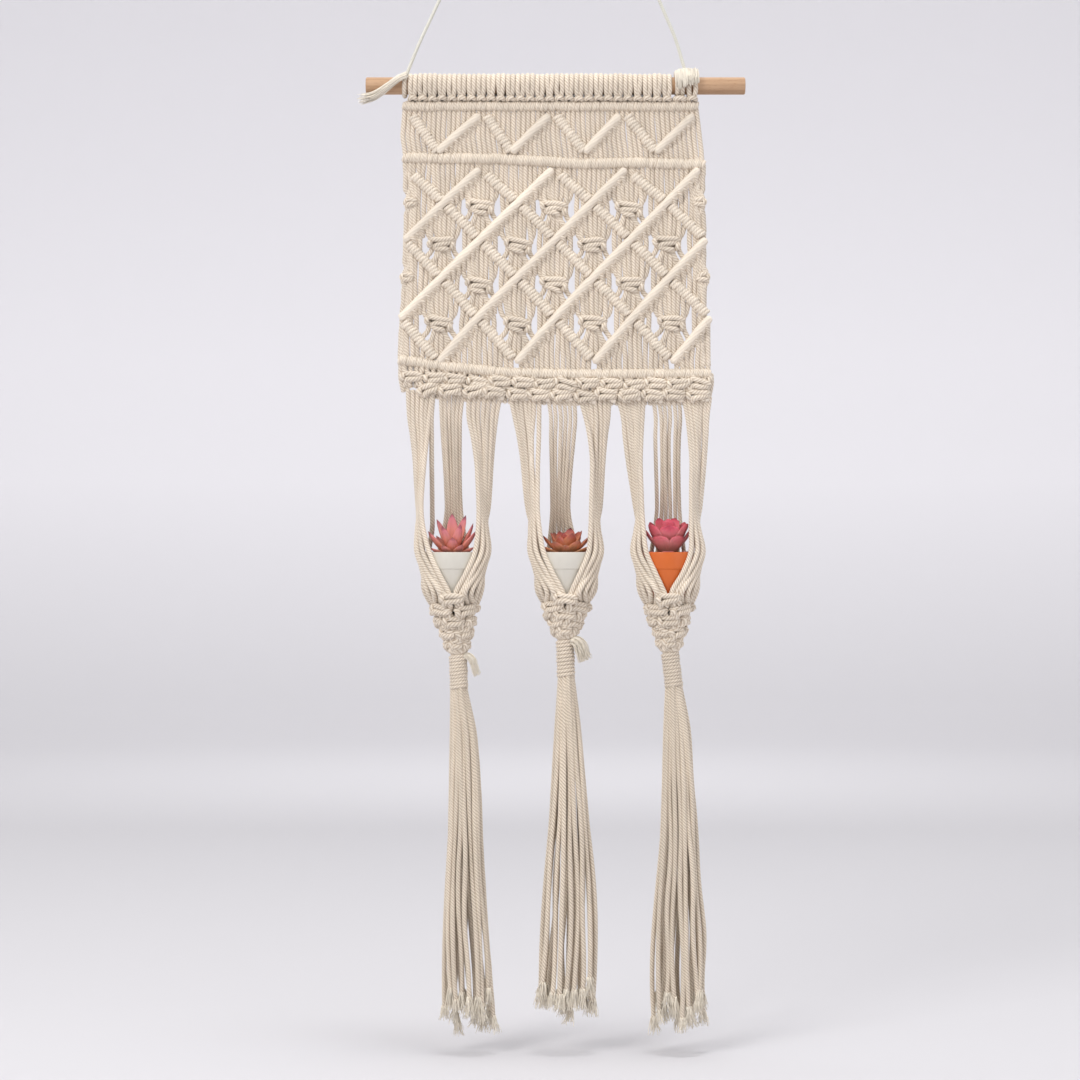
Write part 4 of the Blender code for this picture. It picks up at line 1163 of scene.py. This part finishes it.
def edge_diamond(strands, column, row):
    """Half a diamond at the panel's edge: a small knot of the edge strands and the next two."""
    side = 1 if column == 0 else -1
    middle_x, middle_z = net_node(column, row)
    place = np.array((middle_x + side * 0.0046, -0.0012, middle_z + 0.0006))
    front, back, left, right = square_knot(place, FRONT, RIGHT * side, 0.0040, 2, 0.0046, 0.0034, 0.1)
    for k in range(HALF_CELL):
        x = middle_x + side * (k + 0.5) * STRAND_PITCH * net_width(middle_z)
        high, low = cell_edges(column, row, x)
        if k == 0:
            strands.add(curve([(x, 0, high), *right, (x, 0, low)]), PLAIN_STRAND)
        elif k == 1:
            strands.add(curve([(x, 0, high), *back, (x, 0, low)]), EDGE_KNOT_CORD)
        else:
            strands.add(plain_cell_strand(x, high, low, -side * 0.0008 * (k == 2)), PLAIN_STRAND)
    return [left, front]


def square_knot(centre, out, across, half_width, bands=2, gap=0.0046, depth=0.0032, tilt=0.0, taper=0.0):
    """Keys of the cords in a knot: one crosses in front, one loops at its sides, and two are held."""
    down = np.cross(across, out)
    down = down if down[2] < 0 else -down
    if tilt:
        across, down = across + down * tilt, down - across * tilt
    half = gap * (bands - 1) / 2
    reach = half + 0.0032

    def place(a, o, d):
        return centre + across * a + out * o + down * d + RNG.normal(0, 0.00035, 3)

    widths = [half_width * (1 + taper * (1 - 2 * i / max(1, bands - 1))) for i in range(bands)]
    front = [place(-widths[0], 0.1 * depth, -reach)]
    side = -1
    for i, wide in enumerate(widths):
        level = -half + gap * i
        front.append(place(side * wide * 0.72, 0.80 * depth, level - 0.0005))
        front.append(place(0.0, depth, level))
        front.append(place(-side * wide * 0.72, 0.80 * depth, level + 0.0005))
        side = -side
        if i < bands - 1:
            front.append(place(side * (wide + 0.0004), 0.1 * depth, level + gap / 2))
    front.append(place(side * widths[-1], 0.1 * depth, reach))
    back = [place(widths[0], 0.1 * depth, -reach)]
    side = 1
    for i, wide in enumerate(widths):
        level = -half + gap * i
        back.append(place(side * wide * 0.7, -0.8 * depth, level))
        back.append(place(-side * wide * 0.7, -0.8 * depth, level))
        side = -side
        if i < bands - 1:
            for wider, ahead, share in SIDE_LOOP:
                back.append(place(side * (wide + wider), ahead * depth, level + gap * share))
    back.append(place(side * widths[-1], 0.1 * depth, reach))
    held = [[place(s * half_width * 0.42, 0.0, d) for d in (-reach, reach)] for s in (-1, 1)]
    return front, back, *held


def make_net():
    """The strands of each cell: tied into a knot in a whole diamond, straight in the others."""
    last = NET_COLUMNS - 1
    edge_knots = {0: [], last: []}
    for row in range(len(NET_ROWS)):
        strands = Cords()
        inside = 0 < row < len(NET_ROWS) - 1
        for column in range((row + 1) % 2, NET_COLUMNS, 2):
            if inside and 0 < column < last:
                whole_diamond(strands, column, row)
            elif inside:
                edge_knots[column].append(edge_diamond(strands, column, row))
            else:
                open_cell(strands, column, row)
        if row == 0:
            crossing_strands(strands)
        nodes = ("diamond_net",) if row == 0 else ()
        tie(strands, f"diamond_net_strands_{row + 1}", "panel", *nodes)
    edges = Cords()
    for column, side in ((0, 1), (last, -1)):
        for order in range(2):
            edges.add(edge_strand(side, order, [knot[order] for knot in edge_knots[column]]), PLAIN_STRAND)
    tie(edges, "diamond_net_edges", "panel")


def open_cell(strands, column, row):
    """The plain strands over the first row of crossings, or under the last."""
    middle_x, middle_z = net_node(column, row)
    for k in range(-HALF_CELL, HALF_CELL):
        x = middle_x + (k + 0.5) * STRAND_PITCH * net_width(middle_z)
        if net_node(0, row)[0] < x < net_node(NET_COLUMNS - 1, row)[0]:
            high, low = cell_edges(column, row, x)
            strands.add(plain_cell_strand(x, high, low), PLAIN_STRAND)


def crossing_strands(strands):
    """The two strands that run down to each crossing of the first row."""
    for column in range(0, NET_COLUMNS, 2):
        x = net_node(column, 0)[0]
        for shift in (-0.0024, 0.0024):
            top = (x + shift, 0.0004, between(MIDDLE_BAR, x))
            strands.add(curve([top, (x + shift, 0.0004, NET_ROWS[0] - 0.004)]), PLAIN_STRAND)


def edge_strand(side, order, knots):
    """A strand down the net's edge, from knot to knot."""
    keys = []
    for z in np.linspace(-0.396, -0.604, 27):
        x = panel_x(0.0 if side > 0 else 1.0, z) + side * (0.0022 + 0.0046 * order)
        keys.append((x + RNG.normal(0, 0.0003), RNG.normal(0, 0.0003), z))
    for held in knots:
        top, foot = held[0][2] + 0.004, held[-1][2] - 0.004
        keys = [key for key in keys if key[2] > top] + held + [key for key in keys if key[2] < foot]
    return curve(keys)


def knot_group(cords, x, z, top, foot):
    """One knot of the alternating rows, with the four strands that pass through it and fill in behind."""
    tilt = RNG.normal(0.02, 0.14)
    place = np.array((x + RNG.normal(0, 0.0008), -0.0026 + RNG.normal(0, 0.0006), z + RNG.normal(0, 0.0007)))
    front, back, left, right = square_knot(place, FRONT, RIGHT, KNOT_REACH, 2, 0.0050, 0.0036, tilt, 0.08)
    for keys, order in ((front, -1.5), (left, -0.5), (right, 0.5), (back, 1.5)):
        own_x = x + order * KNOT_PITCH / 4
        start = [(own_x, 0.0, z + top)] if top else []
        end = [(own_x, 0.0, z - foot)] if foot else []
        cords.add(curve([*start, *keys, *end]), CROSSING_CORD if abs(order) > 1 else CORD / 2)
        upper = z + top if top else z + 0.006
        cords.add(curve([(own_x, 0.0016, upper), (own_x, 0.0020, z), (own_x, 0.0016, z - 0.0095)]), KNOT_CORD)


def make_knot_rows():
    """A full row of knots, then a group of knots over each planter."""
    row = Cords()
    for i in range(ROW_A_KNOTS):
        x = ROW_A_START + ROW_A_PITCH * i
        z = between(ROW_A_LINE, x)
        knot_group(row, x, z, between(BOTTOM_BAR, x) - z, 0.0085)
    for x in ROW_A_EDGES:
        z = between(ROW_A_LINE, x)
        keys = [(x, 0.0, between(BOTTOM_BAR, x)), (x * 1.002, 0.0, z), (x * 0.985, 0.0016, z - 0.014)]
        row.add(curve(keys), CORD / 2)
    tie(row, "square_knots_upper", "panel", "square_knot_row")
    for number, (start, count) in enumerate(ROW_B_GROUPS, 1):
        cords = Cords()
        for i in range(count):
            x = start + KNOT_PITCH * i
            knot_group(cords, x, between(ROW_A_LINE, x) - ROW_B_DROP, 0.0, 0.0)
        tie(cords, f"square_knots_lower_{number}", "panel", f"square_knot_group_{number}")


# ---- planters ---------------------------------------------------------------------------------


def fan_angle(order):
    """Where a side cord meets the cup: closer to its neighbours at the front than at the side."""
    return 9.0 + 91.0 * (order / (SIDE_CORDS - 1)) ** 1.5


def side_cord(planter, side, order):
    """The keys of one cord of a side bundle, counted from the front one outwards: (z, x, y)."""
    centre = planter["centre"]
    inner, outer = planter["left"] if side < 0 else planter["right"]
    share = order / (SIDE_CORDS - 1)
    rim_angle = math.radians(RIM_ANGLES[0] + (RIM_ANGLES[1] - RIM_ANGLES[0]) * share)
    rim_radius = RIM_REACH + RIM_BULGE * math.sin(math.pi * share)
    cup_angle = math.radians(fan_angle(order))
    return (
        (CORDS_TOP, inner + (outer - inner) * share, 0.0),
        (PINCH_Z, centre + side * PINCH_OFFSET, PINCH_DEPTH * (2 * share - 1)),
        (RIM_Z, centre + side * rim_radius * math.sin(rim_angle), -rim_radius * math.cos(rim_angle)),
        (CUP_TOP, centre + side * CUP_REACH * math.sin(cup_angle), -CUP_RADIUS * math.cos(cup_angle)),
    )


def back_cord(planter, order):
    """The keys of one cord of the back bundle, counted from the left: (z, x, y)."""
    centre = planter["centre"]
    left, right = planter["back"]
    share = order / (BACK_CORDS - 1)
    angle = math.radians(CORD_ANGLE * (order - (BACK_CORDS - 1) / 2))
    x = left + (right - left) * share
    shift, narrow = BACK_RUN[PLANTERS.index(planter)]
    low = (left + right) / 2 + shift + (x - (left + right) / 2) * narrow
    rim = centre + BACK_RIM_RADIUS * math.sin(angle)
    return (
        (CORDS_TOP, x, 0.0),
        (PINCH_Z, low, BACK_PINCH_Y),
        (RIM_Z, low * 0.5 + 0.5 * rim, BACK_RIM_RADIUS * math.cos(angle)),
        (CUP_TOP, centre + CUP_RADIUS * math.sin(angle), CUP_RADIUS * math.cos(angle)),
    )


def cup_middle(planter, z):
    return between([(planter["wrap"][0], planter["wrap_x"][0]), (CUP_TOP, planter["centre"])], z)


def cup_radius(planter, z):
    share = (CUP_TOP - z) / (CUP_TOP - planter["wrap"][0])
    return between(CUP_PROFILE, share) - between(CUP_INSET, share)


def cup_place(planter, z, angle, out=0.0):
    """A point on the cup. The angle is 0 at the front and grows towards the right."""
    a = math.radians(angle)
    radius = cup_radius(planter, z) + out
    return np.array((cup_middle(planter, z) + radius * math.sin(a), -radius * math.cos(a), z))


def ring_height(planter, ring):
    """The rings of knots share out the cup's height, with room left for the strands to gather."""
    top, bottom = CUP_TOP - 0.008, planter["wrap"][0] + CUP_BOTTOM_ROOM
    return top + (bottom - top) * ring / (CUP_RINGS - 1)


def first_ring(angle):
    """The ring where a strand is first tied. The net starts between the bundles, and lower at the sides."""
    turned = abs((angle + 180) % 360 - 180)
    if turned < 36 or turned > 108:
        return 0
    return 1 if turned < 72 else 2


def knot_angle(ring, angle):
    """The middle of the knot that takes the strand at this angle in this ring."""
    step = 360.0 / CUP_KNOTS
    shift = step / 2 * (ring % 2)
    return round((angle - shift) / step) * step + shift


def planter_strand(number, planter, side, order, keys, angle):
    """One cord from the panel to the wrap: down its bundle, then from knot to knot of the cup."""
    x_keys = [(key[0], key[1]) for key in keys]
    y_keys = [(key[0], key[2]) for key in keys]
    spread = side * PINCH_SPREAD[number - 1][side > 0] * (order - 3) / 3
    shift = PINCH_SHIFT[number - 1][side > 0] if side else 0.0
    waver, sway = RNG.normal(0, 0.0010), RNG.normal(0, 0.0012)
    start = strand_start(number, side, order, x_keys[0][1])
    lone = number == 1 and side < 0 and order == SIDE_CORDS - 1
    line = [(LONE_CORD_X + 0.002 if lone else start, 0.0, between(ROW_A_LINE, start) - ROW_B_DROP - 0.0020)]
    for z, near, loose in BUNDLE_STATIONS:
        x = smooth(x_keys, z) + near * (spread + shift) + waver * loose
        y = smooth(y_keys, z) + sway * loose
        if lone and z > RIM_Z:
            x, y = LONE_CORD_X, max(y, 0.018 * near)
        line.append((x, y, z))
    line.extend(cup_route(planter, angle, side * fan_angle(order)))
    path = curve(line)
    upper = CORD / 2 if side else 0.0021
    top = planter["wrap"][0]
    heights = (top, top + 0.004, CUP_TOP - 0.006, CUP_TOP, RIM_Z, PINCH_Z)
    return path, np.interp(path[:, 2], heights, (CORD / 2, 0.0029, 0.0029, 0.0028, upper + 0.0002, upper))


def cup_route(planter, angle, fan):
    """The keys of one cord through the cup: from knot to knot, then into the wrap."""
    keys = []
    first = first_ring(angle)
    if first:
        keys.append(cup_place(planter, CUP_TOP - 0.001, fan, 0.0022))
    for ring in range(first, CUP_RINGS):
        middle = knot_angle(ring, angle)
        offset = (angle - middle + 180) % 360 - 180
        front, back, left, right = cup_knot(planter, ring, middle)
        keys.extend(front if offset < -18 else left if offset < 0 else right if offset < 18 else back)
    top = planter["wrap"][0]
    a = math.radians(angle)
    for z, gather in ((top + 0.001, 0.0056), (top - 0.005, 0.0046)):
        keys.append((planter["wrap_x"][0] + gather * math.sin(a), -gather * math.cos(a), z))
    return keys


def strand_start(number, side, order, fallback):
    """Where a strand leaves the knots: nearly evenly spaced along the panel."""
    place = {-1: SIDE_CORDS - 1 - order, 0: SIDE_CORDS + order, 1: SIDE_CORDS + BACK_CORDS + order}[side]
    even = FIRST_CORD_X + CORD_STEP * ((number - 1) * PLANTER_CORDS + place)
    return even * 0.45 + fallback * 0.55


def cup_knot(planter, ring, angle):
    """The keys of one knot of the cup."""
    z = ring_height(planter, ring)
    a = math.radians(angle)
    out = np.array((math.sin(a), -math.cos(a), 0.0))
    across = np.array((math.cos(a), math.sin(a), 0.0))
    radius = cup_radius(planter, z)
    half_width = min(0.0090, 2 * math.pi * radius / CUP_KNOTS * 0.42)
    tilt = 0.20 * math.sin(3.0 * ring + angle + 90.0 * planter["centre"])
    return square_knot(cup_place(planter, z, angle), out, across, half_width, 2, 0.0050, 0.0040, tilt)


def make_bundles(number, planter):
    """The three bundles that carry one pot, tied into its cup."""
    bodies = ("panel", f"planter_{number}", *BUNDLE_BEND)
    groups = {
        "left": [(-1, i, side_cord(planter, -1, i), -CORD_ANGLE * (i + 0.5)) for i in range(SIDE_CORDS)],
        "right": [(1, i, side_cord(planter, 1, i), CORD_ANGLE * (i + 0.5)) for i in range(SIDE_CORDS)],
        "back": [(0, i, back_cord(planter, i), 180 - CORD_ANGLE * (i - 2.5)) for i in range(BACK_CORDS)],
    }
    for word, members in groups.items():
        cords = Cords()
        for member in members:
            path, radius = planter_strand(number, planter, *member)
            cords.add(path, radius, lay=LAY * RNG.uniform(0.92, 1.12))
        cup = [f"net_cup_{number}"] if word == "left" else []
        tie(cords, f"{word}_bundle_{number}", bodies, f"{word}_cords_{number}", *cup)


def make_wrap(number, planter):
    """The gathering wrap: one cord wound tight round all the others."""
    top, bottom = planter["wrap"]
    left, right = planter["wrap_x"]
    keys = []
    for i in range(WRAP_TURNS * 12 + 1):
        share = i / (WRAP_TURNS * 12)
        angle = -2 * math.pi * WRAP_TURNS * share
        x = left + (right - left) * share
        radius = WRAP_TURN_RADIUS + 0.0002 * math.sin(5 * share * math.pi)
        z = top - 0.0014 + (bottom - top + 0.0028) * share + 0.09 * radius * math.cos(angle)
        keys.append((x + radius * math.cos(angle), radius * math.sin(angle), z))
    cords = Cords()
    cords.add(curve(keys), WRAP_CORD)
    start, end = np.array((left, 0.0, top - 0.003)), np.array((right, 0.0, bottom + 0.001))
    for k in range(8):
        angle = 2 * math.pi * k / 8
        shift = np.array((0.0042 * math.cos(angle), 0.0042 * math.sin(angle), 0.0))
        cords.add(curve([start + shift, (start + end) / 2 + shift, end + shift]), CORD / 2)
    nodes = (f"gathering_wrap_{number}", f"gathered_cords_{number}")
    tie(cords, f"wrap_turns_{number}", f"planter_{number}", *nodes)


def make_wrap_tail(number, planter):
    """The frayed spare end of the wrap."""
    reach = planter["tail"]
    if reach is None:
        return
    top = planter["wrap"][0]
    x = planter["wrap_x"][0] + WRAP_RADIUS
    fullness, count, scatter = WRAP_TAILS[number - 1]
    route = curve([(x - 0.003, -0.005, top - 0.001), (x + 0.002, -0.0065, top - 0.002),
                   (x + reach * 0.42, -0.0065, top - 0.007), (x + reach * 0.56, -0.006, top - 0.0140),
                   (x + reach * 0.74, -0.006, top - 0.0215)], 0.0016)
    cords = Cords()
    radii = [radius * fullness for radius in WRAP_TAIL_RADII]
    fibres(cords, route, radii, count, radius=WRAP_TAIL_FIBRE, wander=scatter)
    for i in range(3):
        aside = np.array((0.0012 * (i - 1), -0.0008 * (i == 1), 0.0)) * fullness
        kept = len(route) - 3 - 2 * i
        cords.add(route[:kept] + aside, np.linspace(0.0020, 0.0009, kept) * fullness)
    piece = cords.build(f"wrap_tail_frayed_{number}")
    settle(piece, f"planter_{number}", FRAYED, "cotton_cord", f"wrap_tail_{number}")


# ---- pots and plants --------------------------------------------------------------------------


def make_pot(number, planter, material, slot):
    base = RIM_Z - POT_HEIGHT
    lip = RIM_Z - POT_LIP
    outer_lip = POT_RIM - 0.0008
    profile = [
        (0.0, base), (POT_BASE - 0.0008, base), (POT_BASE, base + 0.0006), (outer_lip - 0.0008, lip - 0.0006),
        (outer_lip - 0.0001, lip), (outer_lip, lip + 0.0006), (POT_RIM, RIM_Z - 0.0010),
        (POT_RIM - 0.0002, RIM_Z - 0.0003), (POT_RIM - 0.0007, RIM_Z), (POT_RIM - POT_WALL + 0.0004, RIM_Z),
        (POT_RIM - POT_WALL, RIM_Z - 0.0005), (POT_BASE - POT_WALL, base + POT_WALL), (0.0, base + POT_WALL),
    ]
    pot = turned(f"moulded_pot_{number}", profile, (planter["centre"], 0.0), 96)
    settle(pot, f"potted_plant_{number}", material, slot, f"pot_{number}")


def leaf_mesh(points, faces, uvs, tones, foot, azimuth, elevation, length, width, thickness, shape, curl):
    """Adds one fleshy leaf: a flattened section along a bent spine, drawn in to its point."""
    heading = np.array((math.cos(azimuth), math.sin(azimuth), 0.0))
    aside = np.array((-math.sin(azimuth), math.cos(azimuth), 0.0))
    rows, ring = 12, 12
    place = np.array(foot, float)
    first = len(points)
    tone = min(1.0, max(0.0, 1.12 - math.degrees(elevation) / 62 + RNG.uniform(-0.18, 0.18)))
    for i in range(rows):
        t = i / (rows - 1)
        pitch = elevation + curl * (t - 0.35)
        ahead = heading * math.cos(pitch) + np.array((0, 0, 1.0)) * math.sin(pitch)
        up = -heading * math.sin(pitch) + np.array((0, 0, 1.0)) * math.cos(pitch)
        if i:
            place = place + ahead * length / (rows - 1)
        swell = leaf_width(t, shape)
        for j in range(ring):
            angle = 2 * math.pi * j / ring
            rise = math.sin(angle) * thickness / 2 * swell ** 0.7
            if rise > 0:
                rise *= 0.45
            cupped = (math.cos(angle) ** 2 - 0.4) * thickness * 0.35 * swell
            points.append(place + aside * math.cos(angle) * width / 2 * swell + up * (rise + cupped))
            tones.append(tone)
    for i in range(rows - 1):
        for j in range(ring):
            k = (j + 1) % ring
            faces.append((first + i * ring + j, first + i * ring + k, first + (i + 1) * ring + k,
                          first + (i + 1) * ring + j))
            for a, b in ((i, j), (i, j + 1), (i + 1, j + 1), (i + 1, j)):
                uvs.append(((0.25 - b / ring) % 1.0 if b < ring else (0.25 - 1.0) % 1.0, a / (rows - 1)))
    faces.append(tuple(first + (rows - 1) * ring + j for j in range(ring)))
    uvs.extend([(0.0, 1.0)] * ring)


def leaf_width(t, shape):
    """How wide a leaf is along its length, as a share of its width."""
    return between(LEAF_WIDTHS[shape], t)


def make_plant(number, planter, leaves, shape, look):
    """A rosette, leaf by leaf, and the soil round its foot."""
    points, faces, uvs, tones = [], [], [], []
    foot_z = RIM_Z - SOIL_DROP + 0.0012
    for azimuth, elevation, length, width, thickness in leaves:
        a, e = math.radians(azimuth), math.radians(elevation)
        foot = (planter["centre"] + 0.0018 * math.cos(a), 0.0018 * math.sin(a), foot_z)
        curl = math.radians(16 if elevation < 60 else -8)
        leaf_mesh(points, faces, uvs, tones, foot, a, e, length, width, thickness, shape, curl)
    mesh = bpy.data.meshes.new(f"rosette_{number}")
    mesh.from_pydata(points, [], faces)
    mesh.uv_layers.new(name="leaf").data.foreach_set("uv", np.array(uvs, np.float32).ravel())
    mesh.attributes.new("tone", "FLOAT", "POINT").data.foreach_set("value", np.array(tones, np.float32))
    mesh.shade_smooth()
    plant = link(bpy.data.objects.new(f"rosette_{number}", mesh))
    settle(plant, f"potted_plant_{number}", fleshy(look, *LEAF_COLOURS[look]), look, f"succulent_{number}")
    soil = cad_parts[f"soil_{number}"]
    soil.data.materials.clear()
    soil.data.materials.append(earth(f"potting_soil_{number}"))


def make_plants():
    pots = {
        "white_pot": glazed("white_pot_plastic", (0.66, 0.635, 0.57), (0.63, 0.60, 0.535), 0.38),
        "orange_pot": glazed("orange_pot_plastic", (0.66, 0.150, 0.025), (0.61, 0.125, 0.020), 0.36),
    }
    for number, (planter, plant) in enumerate(zip(PLANTERS, PLANTS), 1):
        leaves, shape, look, pot = plant
        make_pot(number, planter, pots[pot], pot)
        make_plant(number, planter, leaves, shape, look)


# ---- all of it --------------------------------------------------------------------------------


def main():
    make_camera()
    for number in range(len(TASSELS)):
        make_tassel(number)
    make_studio()
    make_dowel()
    make_hanging_cord()
    make_hitches()
    make_left_tail()
    make_right_tuft()
    make_larks_heads()
    make_level_bars()
    make_zigzag()
    make_diagonals()
    make_net()
    make_knot_rows()
    for number, planter in enumerate(PLANTERS, 1):
        make_bundles(number, planter)
        make_wrap(number, planter)
        make_wrap_tail(number, planter)
    make_plants()
    bpy.context.view_layer.update()


main()
